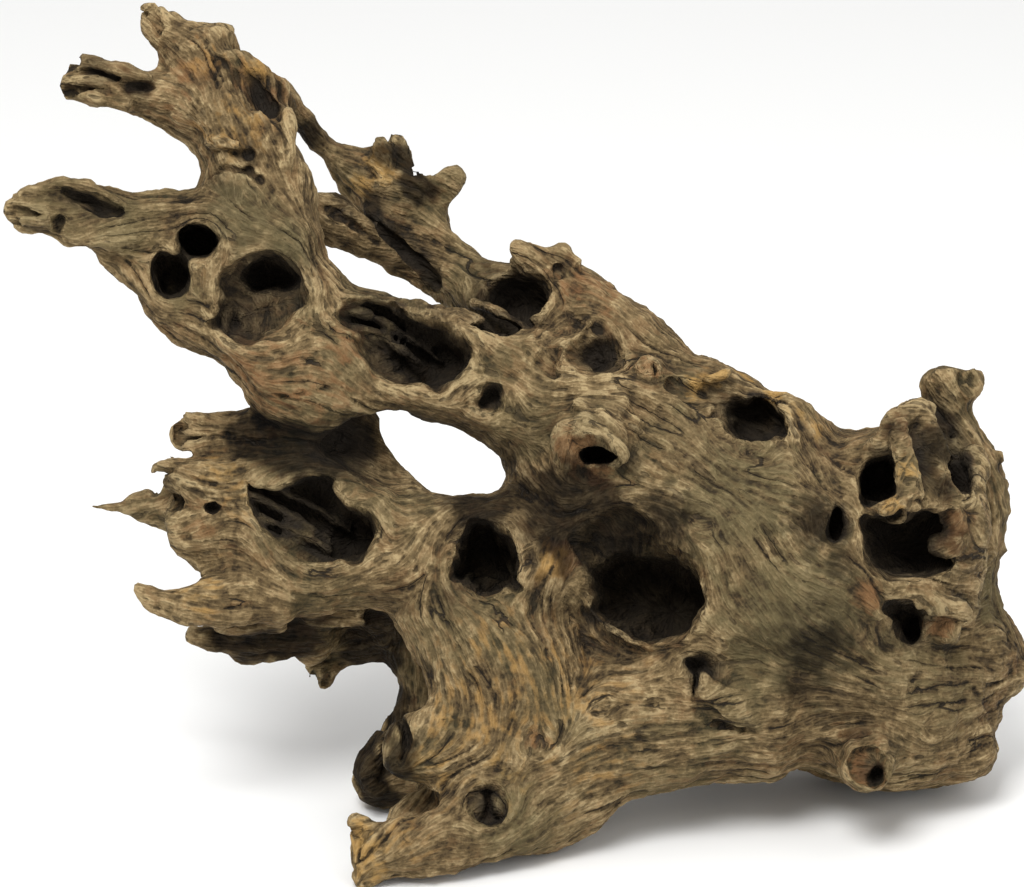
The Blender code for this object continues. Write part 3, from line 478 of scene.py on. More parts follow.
def seen(across, down, out):
    """The point in metres that the front view shows at (across, down), `out` before its middle plane."""
    nearness = (VIEW_DISTANCE - out) / VIEW_DISTANCE
    right = (across - VIEW_CENTRE_ACROSS) * nearness
    up = (VIEW_CENTRE_DOWN - down) * nearness
    return (CENTRE + Vector((right, 0, 0)) + UPWARD * up + OUTWARD * out) * MM


def seen_on(tree, across, down):
    """Place and normal of what the line of sight at (across, down) meets first, or None for each."""
    start = seen(across, down, SIGHT_REACH)
    way = (seen(across, down, -SIGHT_REACH) - start).normalized()
    return tree.ray_cast(start, way)[:2]


def rounded_path(points, closed=False):
    """Catmull-Rom points through the given ones, with every number of a point carried along."""
    ends = [points[-1], *points, *points[:2]] if closed else [points[0], *points, points[-1]]
    path = []
    for before, here, there, after in zip(ends, ends[1:], ends[2:], ends[3:]):
        for step in range(STEPS_BETWEEN_STATIONS):
            t = step / STEPS_BETWEEN_STATIONS
            path.append([
                b + 0.5 * t * (c - a + t * (2 * a - 5 * b + 4 * c - d + t * (3 * (b - c) + d - a)))
                for a, b, c, d in zip(before, here, there, after)
            ])
    return path if closed else [*path, list(points[-1])]


def join_rings(bm, rings):
    """Adds one closed body to bm: a skin over the rings of points, capped at both ends."""
    previous = None
    for points in rings:
        ring = [bm.verts.new(point) for point in points]
        if previous is None:
            bm.faces.new(reversed(ring))
        else:
            for i in range(len(ring)):
                j = (i + 1) % len(ring)
                bm.faces.new((previous[i], previous[j], ring[j], ring[i]))
        previous = ring
    bm.faces.new(previous)


def tip_of(sign, centre, width, depth, along):
    """The narrow ring that closes a loft, a little way before or after one of its rings."""
    reach = TIP_REACH * min(width.length, depth.length)
    return centre + along * sign * reach, width * TIP_SIZE, depth * TIP_SIZE, along


def loft_rings(stations, unevenness):
    """Rings of points of one uneven loft through the stations."""
    rows = rounded_path(stations)
    centres = [seen(*row[:3]) for row in rows]
    overall = (centres[-1] - centres[0]).normalized()
    reference = UPWARD if abs(overall.dot(OUTWARD)) > INWARD_SHARE else OUTWARD
    last = len(rows) - 1
    spans = []
    for i, row in enumerate(rows):
        along = (centres[min(i + 1, last)] - centres[max(i - 1, 0)]).normalized()
        width = along.cross(reference).normalized()
        depth = width.cross(along).normalized()
        spans.append((centres[i], width * row[3] * MM, depth * row[4] * MM, along))
    for centre, width, depth, _ in (tip_of(-1, *spans[0]), *spans, tip_of(1, *spans[-2])):
        ring = []
        for side in range(RING_SIDES):
            angle = 2 * math.pi * side / RING_SIDES
            spoke = width * math.cos(angle) + depth * math.sin(angle)
            spot = centre + spoke
            swing = noise.noise(spot / (LOFT_LUMP * MM)) + 0.6 * noise.noise(spot / (FINE_LOFT_LUMP * MM))
            ring.append(centre + spoke * (1 + unevenness * swing))
        yield ring


def mouth_rings(surface, depth, kept, outline):
    """Rings of points of a hollow that has this outline where it opens, and narrows inwards."""
    curve = rounded_path(outline, closed=True)
    middle = [sum(point[k] for point in curve) / len(curve) for k in (0, 1)]
    levels = (
        (surface + MOUTH_CLEARANCE, 1.18),
        (surface, 1.0),
        (surface - 0.35 * depth, 0.35 * kept + 0.65),
        (surface - 0.7 * depth, 0.8 * kept + 0.2),
        (surface - 0.92 * depth, 0.85 * kept),
        (surface - depth, 0.5 * kept),
    )
    for out, scale in levels:
        ring = []
        for across, down in curve:
            spot = Vector((across, down, out))
            swing = noise.noise(spot / MOUTH_LUMP) + 0.7 * noise.noise(spot / FINE_MOUTH_LUMP)
            reach = scale * (1 + MOUTH_UNEVENNESS * swing)
            wide, high = across - middle[0], down - middle[1]
            ring.append(seen(middle[0] + wide * reach, middle[1] + high * reach, out))
        yield ring


def torn_stations():
    """Stations of the splinters that stand out of the torn ends, and of the splits between them."""
    random = np.random.default_rng(SEED)
    splinters, splits = [], []
    for end, way, half_height, half_depth, length in TORN_ENDS.values():
        end = Vector(end)
        way = Vector(way).normalized()
        height = Vector((-way.y, way.x, 0)).normalized() * half_height
        depth = way.cross(height).normalized() * half_depth
        for k in range(SPLINTERS):
            angle = 2 * math.pi * (k + random.uniform(-0.3, 0.3)) / SPLINTERS
            off = height * math.cos(angle) + depth * math.sin(angle)
            inner = random.uniform(0.45, 0.9)
            root = end - way * length * 1.8 + off * inner * 0.8
            tip = end + way * length * random.uniform(-0.35, 0.5) + off * inner * random.uniform(0.75, 1.15)
            thick = SPLINTER_RADIUS * random.uniform(0.75, 1.25)
            splinters.append([
                (*root, thick, thick),
                (*root.lerp(tip, 0.6), thick * 0.85, thick * 0.85),
                (*tip, thick * 0.62, thick * 0.62),
            ])
            between = angle + math.pi / SPLINTERS
            off = height * math.cos(between) + depth * math.sin(between)
            bottom = end - way * length * random.uniform(0.6, 2.4) + off * 1.02
            top = end + way * length + off * random.uniform(0.6, 1.0)
            wide = random.uniform(1.0, 1.7)
            splits.append([
                (*bottom, wide * 0.6, wide),
                (*bottom.lerp(top, 0.5), wide, wide * 1.8),
                (*top, wide * 1.3, wide * 2.4),
            ])
    return splinters, splits


def object_from(name, bm):
    """A new object of bm's mesh, in the scene."""
    mesh = bpy.data.meshes.new(name)
    bm.to_mesh(mesh)
    bm.free()
    obj = bpy.data.objects.new(name, mesh)
    bpy.context.scene.collection.objects.link(obj)
    return obj


def bodies(name, all_rings):
    """One object of closed bodies, each given by its rings."""
    bm = bmesh.new()
    for rings in all_rings:
        join_rings(bm, rings)
    bmesh.ops.recalc_face_normals(bm, faces=bm.faces)
    return object_from(name, bm)


def lofts(name, tables, unevenness):
    """One object of the lofts through each list of stations."""
    return bodies(name, [loft_rings(stations, unevenness) for stations in tables])


def settle(obj):
    """Applies all modifiers of obj."""
    graph = bpy.context.evaluated_depsgraph_get()
    mesh = bpy.data.meshes.new_from_object(obj.evaluated_get(graph), depsgraph=graph)
    obj.modifiers.clear()
    old = obj.data
    obj.data = mesh
    bpy.data.meshes.remove(old)


def fuse(obj, voxel):
    """Remeshes obj evenly, which also joins the bodies that overlap in it."""
    modifier = obj.modifiers.new("Fuse", "REMESH")
    modifier.mode = "VOXEL"
    modifier.voxel_size = voxel * MM


def soften(obj, times):
    """Smooths obj this many times."""
    modifier = obj.modifiers.new("Soften", "SMOOTH")
    modifier.factor = 0.5
    modifier.iterations = times


def combine(skin, other, operation):
    """A boolean of the skin with a helper object."""
    modifier = skin.modifiers.new(operation.title(), "BOOLEAN")
    modifier.operation = operation
    modifier.object = other
    modifier.solver = "MANIFOLD"


def rounded_copy(source):
    """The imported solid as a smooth, fine mesh of its own, pushed out so that rounding doesn't shrink it."""
    bm = bmesh.new()
    bm.from_mesh(source.data)
    bmesh.ops.remove_doubles(bm, verts=bm.verts, dist=0.01 * MM)
    obj = object_from("driftwood_skin", bm)
    rounding = obj.modifiers.new("Round", "SUBSURF")
    rounding.levels = ROUND_LEVELS
    rounding.render_levels = ROUND_LEVELS
    corners = points_of(obj.data)
    cage = corners.copy()
    for _ in range(ROUND_PUSHES):
        graph = bpy.context.evaluated_depsgraph_get()
        rounded = points_of(obj.evaluated_get(graph).data)[: len(corners)]
        cage += PUSH_SHARE * (corners - rounded)
        place_points(obj.data, cage)
        obj.data.update()
        obj.update_tag()
        bpy.context.view_layer.update()
    return obj


def carved_skin(source):
    """The rounded solid with the additions fused on, the carvings cut out and the inner ridges set in."""
    splinters, splits = torn_stations()
    skin = rounded_copy(source)
    settle(skin)
    extras = lofts("additions", [*ADDITIONS.values(), *splinters], ADDED_UNEVENNESS)
    combine(skin, extras, "UNION")
    fuse(skin, VOXEL)
    soften(skin, 3)
    cuts = lofts("carvings", [*CARVINGS.values(), *splits], CARVED_UNEVENNESS)
    openings = bodies("openings", [mouth_rings(*mouth) for mouth in MOUTHS.values()])
    for helper in (cuts, openings):
        fuse(helper, CUT_VOXEL)
        combine(skin, helper, "DIFFERENCE")
    ridges = lofts("ridges", INNER_RIDGES.values(), RIDGE_UNEVENNESS)
    combine(skin, ridges, "UNION")
    fuse(skin, VOXEL)
    soften(skin, 2)
    settle(skin)
    keep_largest(skin.data)
    for helper in (extras, cuts, openings, ridges):
        bpy.data.objects.remove(helper)
    return skin


def keep_largest(mesh):
    """Deletes loose crumbs: all but the largest connected part of the mesh."""
    bm = bmesh.new()
    bm.from_mesh(mesh)
    unseen = set(bm.verts)
    parts = []
    while unseen:
        edge = [unseen.pop()]
        part = list(edge)
        while edge:
            vertex = edge.pop()
            for link in vertex.link_edges:
                other = link.other_vert(vertex)
                if other in unseen:
                    unseen.remove(other)
                    part.append(other)
                    edge.append(other)
        parts.append(part)
    parts.sort(key=len)
    crumbs = [vertex for part in parts[:-1] for vertex in part]
    bmesh.ops.delete(bm, geom=crumbs, context="VERTS")
    bm.to_mesh(mesh)
    bm.free()


def three_columns(collection, attribute, count):
    flat = np.empty(count * 3, dtype=np.float32)
    collection.foreach_get(attribute, flat)
    return flat.reshape(-1, 3).astype(np.float64)


def points_of(mesh):
    """The mesh's points, in millimetres."""
    return three_columns(mesh.vertices, "co", len(mesh.vertices)) / MM


def normals_of(mesh):
    return three_columns(mesh.vertex_normals, "vector", len(mesh.vertices))


def place_points(mesh, points):
    """Puts the mesh's points where they are given, in millimetres."""
    mesh.vertices.foreach_set("co", (points * MM).astype(np.float32).ravel())


def unit(vectors):
    return vectors / np.maximum(np.linalg.norm(vectors, axis=1, keepdims=True), 1e-9)


def tangent(vectors, normals):
    return unit(vectors - normals * np.sum(vectors * normals, axis=1, keepdims=True))


def search_tree(points):
    tree = kdtree.KDTree(len(points))
    for index, point in enumerate(points):
        tree.insert(point, index)
    tree.balance()
    return tree


def surface_tree(points, mesh):
    """A tree for casting rays at the mesh's faces, with its points as given."""
    faces = [tuple(face.vertices) for face in mesh.polygons]
    return BVHTree.FromPolygons([tuple(point) for point in points], faces)


def grain_direction(points, normals):
    """Direction of the grain at each point, from the nearest limbs' centre lines."""
    total = np.zeros_like(points)
    for stations in GRAIN_LINES.values():
        line = [(np.array(seen(*station[:3])) / MM, station[3]) for station in stations]
        for (start, start_radius), (end, end_radius) in zip(line, line[1:]):
            step = end - start
            length = np.linalg.norm(step)
            t = np.clip((points - start) @ step / length**2, 0, 1)
            gap = np.linalg.norm(points - start - t[:, None] * step, axis=1)
            radius = start_radius + t * (end_radius - start_radius)
            weight = 1 / (0.02 + (gap / radius) ** 6) / radius
            total += weight[:, None] * (step / length)
    return tangent(total, normals)


def knot_places(tree):
    """(centre, outward normal, radius, rim height) of each knot, found on the solid from the front."""
    places = []
    for across, down, radius, height in KNOTS.values():
        reach = radius * 1.15
        rim = [seen_on(tree, across + reach * math.cos(angle), down + reach * math.sin(angle))
               for angle in np.linspace(0, 2 * math.pi, 12, endpoint=False)]
        found = [place for place in rim if place[0] is not None]
        if not found:
            continue
        centre = sum((place[0] for place in found), Vector()) / len(found)
        facing = (sum((place[1] for place in found), Vector()) + OUTWARD).normalized()
        places.append((np.array(centre) / MM, np.array(facing), radius, height))
    return places


def swerve(points, normals, grain, knots):
    """Bends the grain round each knot as water flows round a post, and sends it inwards inside the knot."""
    for centre, facing, radius, _ in knots:
        offset = points - centre
        height = offset @ facing
        flat = offset - height[:, None] * facing
        far = np.linalg.norm(flat, axis=1)
        near = (far < radius * 4) & (np.abs(height) < radius * 2.5)
        if not near.any():
            continue
        away = unit(flat[near])
        pull = np.clip((radius / np.maximum(far[near], radius)) ** 2, 0, 1)[:, None]
        flow = grain[near]
        along = np.sum(flow * away, axis=1, keepdims=True)
        bent = flow - pull * (2 * along * away - flow) * 0.96
        inside = np.clip((radius * 0.95 - far[near]) / (radius * 0.3), 0, 1)[:, None]
        bent = bent * (1 - inside) + inside * (facing + 0.15 * flow)
        grain[near] = tangent(bent, normals[near])
    return grain


class Neighbours:
    """Averages values over each vertex's neighbours."""

    def __init__(self, mesh):
        pairs = np.empty(len(mesh.edges) * 2, dtype=np.int32)
        mesh.edges.foreach_get("vertices", pairs)
        pairs = pairs.reshape(-1, 2)
        self.count = len(mesh.vertices)
        self.here = np.concatenate([pairs[:, 0], pairs[:, 1]])
        self.there = np.concatenate([pairs[:, 1], pairs[:, 0]])
        self.degree = np.maximum(np.bincount(self.here, minlength=self.count), 1)

    def mean(self, values):
        if values.ndim == 1:
            return np.bincount(self.here, values[self.there], self.count) / self.degree
        return np.stack([self.mean(values[:, k]) for k in range(values.shape[1])], axis=1)

    def smooth(self, values, times):
        for _ in range(times):
            values = 0.5 * values + 0.5 * self.mean(values)
        return values


class Streamer:
    """Smears values along the grain, by looking some steps forwards and back from every vertex."""

    def __init__(self, points, grain):
        tree = search_tree(points)
        near = [np.array([tree.find(spot)[1] for spot in points + step * grain])
                for step in (-GRAIN_STEP, GRAIN_STEP)]
        self.levels = [near]
        for _ in range(STREAM_DOUBLINGS):
            near = [places[places] for places in near]
            self.levels.insert(0, near)

    def smear(self, values, times, doublings=STREAM_DOUBLINGS):
        for back, ahead in self.levels[-1 - doublings:]:
            for _ in range(times):
                values = 0.4 * values + 0.3 * (values[back] + values[ahead])
        return values


def standard(values):
    return (values - values.mean()) / (values.std() + 1e-9)


def noise_at(points, length, *offset):
    """Noise with features of this length, in millimetres, at each point."""
    offset = Vector(offset)
    return np.array([noise.noise(Vector(point) / length + offset) for point in points])


def store(mesh, name, values):
    """Stores a number or a vector for each vertex, for the material to read."""
    kind = "FLOAT" if values.ndim == 1 else "FLOAT_VECTOR"
    layer = mesh.attributes.new(name, kind, "POINT")
    layer.data.foreach_set("value" if values.ndim == 1 else "vector", values.astype(np.float32).ravel())


def chips_at(points):
    """Chipped facets: 0 along their borders, rising to 1 inside them."""
    gaps = np.empty(len(points))
    for index, point in enumerate(points):
        distances = noise.voronoi(Vector(point) / CHIP_LENGTH)[0]
        gaps[index] = distances[1] - distances[0]
    return np.clip(gaps / 0.4, 0, 1)


def valley(values, width):
    """1 along the lines where the values pass through nought, falling to 0 away from them."""
    return np.exp(-((values / width) ** 2))


def ridges_between(values, depth, width):
    """Rounded ridges between the lines where the values pass through nought."""
    return np.minimum(np.abs(values), 1.6) - 0.8 - depth * valley(values, width)


def relief(points, streamer, neighbours, knots):
    """How far each vertex moves along its normal, and the patterns for the material to read."""
    flute, ridge, crack = (
        standard(neighbours.smooth(streamer.smear(noise_at(points, *pattern), 2), 2))
        for pattern in ((FLUTE_LENGTH, 3, 1, 8), (RIDGE_LENGTH, 7, 2, 5), (CRACK_LENGTH, 1, 9, 4))
    )
    lumps = noise_at(points, LUMP_LENGTH, 0, 5, 2) + 0.5 * noise_at(points, LUMP_LENGTH / 2.4, 9, 0, 4)
    strong = 0.15 + 1.5 * np.clip(noise_at(points, STRENGTH_LENGTH, 2, 7, 1) + 0.35, 0, 1)
    cracked = np.clip(5 * noise_at(points, CRACKED_LENGTH, 6, 3, 3) - 0.2, 0, 1)
    worn = noise_at(points, WEAR_LENGTH, 8, 8, 1) + 0.6 * noise_at(points, FINE_WEAR_LENGTH, 1, 4, 6)
    dents = noise_at(points, DENT_LENGTH, 3, 6, 9)
    chips = streamer.smear(chips_at(points), 2, 1)
    chipped = np.clip(0.35 + 2.2 * noise_at(points, CHIPPED_LENGTH, 5, 1, 7), 0.1, 1)
    height = LUMP_HEIGHT * lumps + DENT_HEIGHT * dents + WEAR_HEIGHT * worn
    height += CHIP_HEIGHT * chipped * (chips - 0.6)
    height += strong * FLUTE_HEIGHT * ridges_between(flute, 0.8, 0.38)
    height += strong * RIDGE_HEIGHT * ridges_between(ridge, 0.4, 0.55)
    height -= CRACK_DEPTH * cracked * valley(crack, 0.36)
    for centre, facing, radius, rim in knots:
        offset = points - centre
        level = offset @ facing
        far = np.linalg.norm(offset - level[:, None] * facing, axis=1)
        height += rim * valley(far - radius * 1.05, radius * 0.22 + 1.0) * (np.abs(level) < radius * 1.6)
    groove = np.maximum(strong * valley(flute, 0.3), 0.5 * strong * valley(ridge, 0.4))
    patterns = {"crack": crack, "cracked": cracked, "groove": np.clip(groove, 0, 1)}
    return np.clip(height, -RELIEF_LIMIT, RELIEF_LIMIT), patterns


def openness(mesh):
    """Share of the sky that each vertex sees, worked out on a thinned copy and spread to all."""
    thin = bpy.data.objects.new("thin", mesh.copy())
    bpy.context.scene.collection.objects.link(thin)
    thin.modifiers.new("Fewer", "DECIMATE").ratio = SKY_SHARE
    settle(thin)
    points = points_of(thin.data)
    tree = surface_tree(points, thin.data)
    rays = unit(np.random.default_rng(SEED).normal(size=(SKY_RAYS, 3)))
    open_share = np.empty(len(points))
    for index, (point, normal) in enumerate(zip(points, normals_of(thin.data))):
        start = Vector(point + normal * 0.8)
        hits = 0.0
        for direction in unit(rays + normal * 1.02):
            found = tree.ray_cast(start, Vector(direction), SKY_REACH)
            if found[0] is not None:
                hits += 1 - found[3] / SKY_REACH * 0.5
        open_share[index] = 1 - hits / SKY_RAYS
    open_share = Neighbours(thin.data).smooth(open_share, 1)
    finder = search_tree(points)
    spread = np.empty(len(mesh.vertices))
    for index, point in enumerate(points_of(mesh)):
        found = finder.find_n(point, 3)
        weights = [1 / (item[2] + 0.5) for item in found]
        spread[index] = sum(w * open_share[item[1]] for w, item in zip(weights, found)) / sum(weights)
    bpy.data.objects.remove(thin)
    return spread


def stain_and_shade_strength(points, places, tree):
    """How strongly the points carry one stain colour; the patches of painted shade are worked out the same
    way.
    """
    amount = np.zeros(len(points))
    wobble = noise_at(points, STAIN_AND_SHADE_WOBBLE_LENGTH, 4, 4, 9)
    for across, down, radius, strength in places:
        hit, _ = seen_on(tree, across, down)
        if hit is None:
            continue
        gap = np.linalg.norm(points - np.array(hit) / MM, axis=1)
        amount = np.maximum(amount, strength * np.clip(1.4 - gap / radius * (1 + 0.5 * wobble), 0, 1))
    return amount


def grain_on(points, normals, knots, neighbours):
    """Direction of the grain at each vertex, with its wander and its swerves."""
    grain = grain_direction(points, normals)
    wander = np.stack([noise_at(points, WANDER_LENGTH, k * 7, 3, k) for k in range(3)], axis=1)
    grain = swerve(points, normals, tangent(grain + 0.45 * wander, normals), knots)
    return tangent(neighbours.smooth(grain, 4), normals)


def finish_skin(skin, solid_tree):
    """Gives the skin its relief, thins it to the face budget and stores what the material reads."""
    mesh = skin.data
    points = points_of(mesh)
    normals = normals_of(mesh)
    neighbours = Neighbours(mesh)
    knots = knot_places(solid_tree)
    grain = grain_on(points, normals, knots, neighbours)
    height, patterns = relief(points, Streamer(points, grain), neighbours, knots)
    moved = points + normals * height[:, None]
    moved[:, 2] = np.maximum(moved[:, 2], 0)
    place_points(mesh, moved)
    store(mesh, "grain", grain)
    for name, times in (("hump", 4), ("swell", 24)):
        store(mesh, name, np.sum((moved - neighbours.smooth(moved, times)) * normals, axis=1))
    for name, values in patterns.items():
        store(mesh, name, values)
    mesh.update()
    skin.modifiers.new("Thin", "DECIMATE").ratio = FACE_BUDGET / (2 * len(mesh.polygons))
    settle(skin)
    mesh = skin.data
    points = points_of(mesh)
    tree = surface_tree(points * MM, mesh)
    for name, places in STAINS_AND_SHADE.items():
        store(mesh, name, stain_and_shade_strength(points, places, tree))
    store(mesh, "open", openness(mesh))
    mesh.shade_smooth()


class Nodes:
    """Short ways to add the material's nodes."""

    def __init__(self, tree):
        self.tree = tree

    def add(self, kind, *values, **settings):
        """A new node with these settings, and the values plugged into its first inputs."""
        node = self.tree.nodes.new(kind)
        for key, value in settings.items():
            setattr(node, key, value)
        for socket, value in zip(node.inputs, values):
            self.plug(socket, value)
        return node

    def plug(self, socket, value):
        if hasattr(value, "links"):
            self.tree.links.new(value, socket)
        else:
            socket.default_value = value

    def math(self, operation, *values):
        return self.add("ShaderNodeMath", *values, operation=operation).outputs[0]

    def plus(self, first, second):
        return self.math("ADD", first, second)

    def times(self, first, second):
        return self.math("MULTIPLY", first, second)

    def mixed(self, patterns, shares, start):
        """The sum of the patterns, each times its share, from a start."""
        total = start
        for name, share in shares.items():
            total = self.plus(total, self.times(patterns[name], share))
        return total

    def attribute(self, name, output="Fac"):
        return self.add("ShaderNodeAttribute", attribute_name=name).outputs[output]

    def ramp(self, value, low, high, start=0.0, end=1.0):
        return self.add("ShaderNodeMapRange", value, low, high, start, end,
                        interpolation_type="SMOOTHSTEP").outputs[0]

    def blend(self, amount, first, second, kind="MIX"):
        node = self.add("ShaderNodeMix", data_type="RGBA", blend_type=kind)
        self.plug(node.inputs["Factor"], amount)
        self.plug(node.inputs["A"], first)
        self.plug(node.inputs["B"], second)
        return node.outputs["Result"]

    def noise(self, place, scale, detail, roughness=0.5):
        node = self.add("ShaderNodeTexNoise")
        node.inputs["Scale"].default_value = scale
        node.inputs["Detail"].default_value = detail
        node.inputs["Roughness"].default_value = roughness
        self.plug(node.inputs["Vector"], place)
        return node.outputs["Fac"]

    def streaks(self, place, grain, scale, step, taps):
        """Noise drawn out along the grain: the mean of taps set a step apart along it."""
        total = None
        for tap in range(taps):
            shift = self.add("ShaderNodeVectorMath", operation="SCALE")
            self.plug(shift.inputs["Vector"], grain)
            self.plug(shift.inputs["Scale"], (tap - (taps - 1) / 2) * step * MM)
            moved = self.add("ShaderNodeVectorMath", place, shift.outputs["Vector"], operation="ADD")
            value = self.noise(moved.outputs["Vector"], scale, 0.0)
            total = value if total is None else self.plus(total, value)
        return self.math("DIVIDE", total, float(taps))


def wood_patterns(nodes):
    """The patterns that the wood's colour and bump are mixed from, by name."""
    place = nodes.add("ShaderNodeTexCoord").outputs["Object"]
    grain = nodes.attribute("grain", "Vector")
    fine = nodes.streaks(place, grain, 850.0, 0.5, 10)
    medium = nodes.streaks(place, grain, 330.0, 1.2, 11)
    broad = nodes.streaks(place, grain, 120.0, 3.2, 8)
    patterns = {
        "streaks": fine,
        "fine": nodes.ramp(fine, 0.41, 0.59),
        "medium": nodes.ramp(medium, 0.40, 0.60),
        "broad": nodes.ramp(broad, 0.38, 0.62),
        "patches": nodes.noise(place, 26.0, 3.0),
        "blotches": nodes.noise(place, 80.0, 4.0, 0.65),
        "specks": nodes.noise(place, 420.0, 2.0, 0.7),
        "tints": nodes.noise(place, 17.0, 4.0, 0.6),
        "hump": nodes.ramp(nodes.attribute("hump"), -0.40, 0.40),
        "swell": nodes.ramp(nodes.attribute("swell"), -1.6, 1.6),
        "groove": nodes.attribute("groove"),
    }
    crack_line = nodes.math("ABSOLUTE", nodes.attribute("crack"))
    crack_edge = nodes.plus(crack_line, nodes.times(patterns["fine"], 0.035))
    crack = nodes.ramp(crack_edge, 0.035, 0.10, 1.0, 0.0)
    patterns["crack"] = nodes.times(crack, nodes.attribute("cracked"))
    dashes = nodes.ramp(medium, 0.405, 0.44, 1.0, 0.0)
    patterns["dashes"] = nodes.times(dashes, nodes.ramp(patterns["patches"], 0.42, 0.56))
    return patterns


def bare_colour(nodes, patterns, lightness):
    """The wood's own colour, from bark brown to pale, greyed in places and warm in others."""
    colour = DARKEST_WOOD_AND_SHADE
    for low, high, tone in COLOUR_STEPS:
        colour = nodes.blend(nodes.ramp(lightness, low, high), colour, tone)
    greyed = nodes.times(nodes.ramp(patterns["tints"], 0.48, 0.62), 0.60)
    colour = nodes.blend(greyed, colour, nodes.blend(0.5, colour, OLIVE))
    warm = nodes.plus(nodes.times(patterns["blotches"], 0.6), nodes.times(patterns["medium"], 0.12))
    warmed = nodes.times(nodes.ramp(warm, 0.36, 0.46), 0.40)
    return nodes.blend(warmed, colour, nodes.blend(0.55, colour, RUST))


def wood_colour(nodes, patterns):
    """The wood's colour with its stains and its painted shade: patches under overhangs and in hollows (some
    of them dark wood), darkened creases, hollows that see little sky, and cracks.
    """
    lightness = nodes.mixed(patterns, LIGHTNESS_SHARES, LIGHTNESS_START)
    colour = bare_colour(nodes, patterns, lightness)
    ragged = nodes.plus(nodes.times(patterns["medium"], 0.35), nodes.times(patterns["blotches"], 0.9))
    ragged = nodes.plus(ragged, -0.62)
    for name, tone, strength in TINTS:
        edge = nodes.plus(nodes.attribute(name), ragged)
        toned = nodes.blend(nodes.ramp(lightness, 0.55, 1.30, 0.25, 1.0), BROWN, tone)
        colour = nodes.blend(nodes.times(nodes.ramp(edge, 0.22, 0.80), strength), colour, toned)
    # Painted shade under overhangs and in hollows, some of it dark wood: the colour is multiplied down
    # towards grey
    shade_and_dark_wood_edge = nodes.plus(nodes.attribute("shade_and_dark_wood"), nodes.times(ragged, 0.7))
    shade_and_dark_wood = nodes.times(nodes.ramp(shade_and_dark_wood_edge, 0.05, 0.90), 0.94)
    colour = nodes.blend(shade_and_dark_wood, colour, nodes.blend(1.0, colour, SHADE_AND_DARK_WOOD_MULTIPLIER, "MULTIPLY"))
    # Painted shade: the broad hollows are darkened towards the darkest brown
    colour = nodes.blend(nodes.ramp(nodes.attribute("swell"), -2.8, -0.6, 0.8, 0.0), colour, DARKEST_WOOD_AND_SHADE)
    # Painted shade in the hollows: the less of the sky a point sees, the nearer to black it is painted
    shade = nodes.times(nodes.ramp(nodes.attribute("open"), 0.30, 0.80, 1.0, 0.0), 0.90)
    colour = nodes.blend(shade, colour, PAINTED_SHADE)
    colour = nodes.blend(nodes.times(patterns["dashes"], 0.5), colour, DARKEST_WOOD_AND_SHADE)
    # Painted shade in the cracks: thin near-black lines
    return nodes.blend(nodes.times(patterns["crack"], 0.9), colour, PAINTED_SHADE)


def wood_material():
    """Dry, grooved wood: dull, rough and streaked along the grain."""
    material = bpy.data.materials.new("weathered_wood")
    material.use_nodes = True
    nodes = Nodes(material.node_tree)
    shader = material.node_tree.nodes["Principled BSDF"]
    patterns = wood_patterns(nodes)
    nodes.plug(shader.inputs["Base Color"], wood_colour(nodes, patterns))
    shader.inputs["Metallic"].default_value = 0.0
    shader.inputs["Specular IOR Level"].default_value = 0.12
    nodes.plug(shader.inputs["Roughness"], nodes.ramp(patterns["streaks"], 0.35, 0.65, 0.94, 0.72))
    bump = nodes.add("ShaderNodeBump")
    bump.inputs["Strength"].default_value = 1.0
    bump.inputs["Distance"].default_value = BUMP_HEIGHT * MM
    nodes.plug(bump.inputs["Height"], nodes.mixed(patterns, BUMP_SHARES, 0.0))
    nodes.plug(shader.inputs["Normal"], bump.outputs["Normal"])
    return material


def floor_material():
    material = bpy.data.materials.new("pale_floor")
    material.use_nodes = True
    shader = material.node_tree.nodes["Principled BSDF"]
    shader.inputs["Base Color"].default_value = (0.86, 0.86, 0.85, 1)
    shader.inputs["Roughness"].default_value = 0.9
    return material


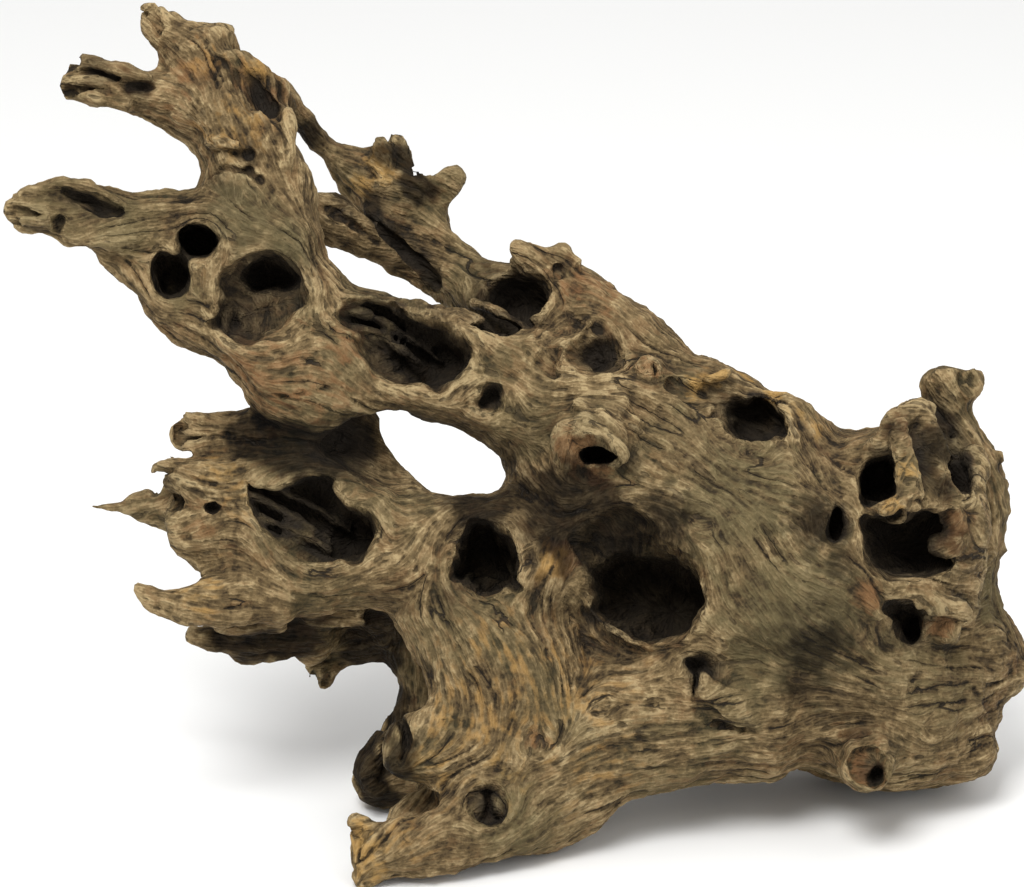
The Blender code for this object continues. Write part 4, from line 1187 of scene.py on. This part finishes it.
def add_floor():
    bm = bmesh.new()
    bmesh.ops.create_grid(bm, x_segments=1, y_segments=1, size=FLOOR_HALF_SIDE)
    floor = object_from("floor", bm)
    floor.data.materials.append(floor_material())


def add_lamp(name, place, aim, size, power):
    lamp = bpy.data.objects.new(name, bpy.data.lights.new(name, "AREA"))
    lamp.data.size = size
    lamp.data.energy = power
    lamp.location = place
    lamp.rotation_euler = (Vector(aim) - Vector(place)).to_track_quat("-Z", "Y").to_euler()
    bpy.context.scene.collection.objects.link(lamp)


def add_lights():
    world = bpy.data.worlds.new("studio")
    world.use_nodes = True
    background = world.node_tree.nodes["Background"]
    background.inputs["Color"].default_value = (1, 1, 1, 1)
    background.inputs["Strength"].default_value = WORLD_LIGHT
    bpy.context.scene.world = world
    bpy.context.scene.view_settings.view_transform = "Standard"
    for lamp in LAMPS:
        add_lamp(*lamp)


def add_camera():
    camera = bpy.data.objects.new("camera", bpy.data.cameras.new("camera"))
    camera.data.sensor_width = SENSOR_WIDTH
    camera.data.lens = SENSOR_WIDTH * VIEW_DISTANCE / VIEW_WIDTH
    camera.location = seen(VIEW_CENTRE_ACROSS, VIEW_CENTRE_DOWN, VIEW_DISTANCE)
    camera.rotation_euler = (math.pi / 2 - VIEW_TILT, 0, 0)
    bpy.context.scene.collection.objects.link(camera)
    bpy.context.scene.camera = camera


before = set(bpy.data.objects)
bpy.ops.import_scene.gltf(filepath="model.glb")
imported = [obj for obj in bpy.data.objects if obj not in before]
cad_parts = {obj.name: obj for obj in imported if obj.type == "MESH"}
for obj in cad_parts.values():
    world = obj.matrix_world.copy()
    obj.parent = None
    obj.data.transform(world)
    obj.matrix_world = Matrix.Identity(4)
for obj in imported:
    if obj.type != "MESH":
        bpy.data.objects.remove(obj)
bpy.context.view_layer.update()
add_camera()
add_lights()
add_floor()
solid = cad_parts["driftwood"]
solid_tree = BVHTree.FromObject(solid, bpy.context.evaluated_depsgraph_get())
skin = carved_skin(solid)
finish_skin(skin, solid_tree)
skin.data.materials.clear()
skin.data.materials.append(wood_material())
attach(skin, "root")
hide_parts("driftwood")
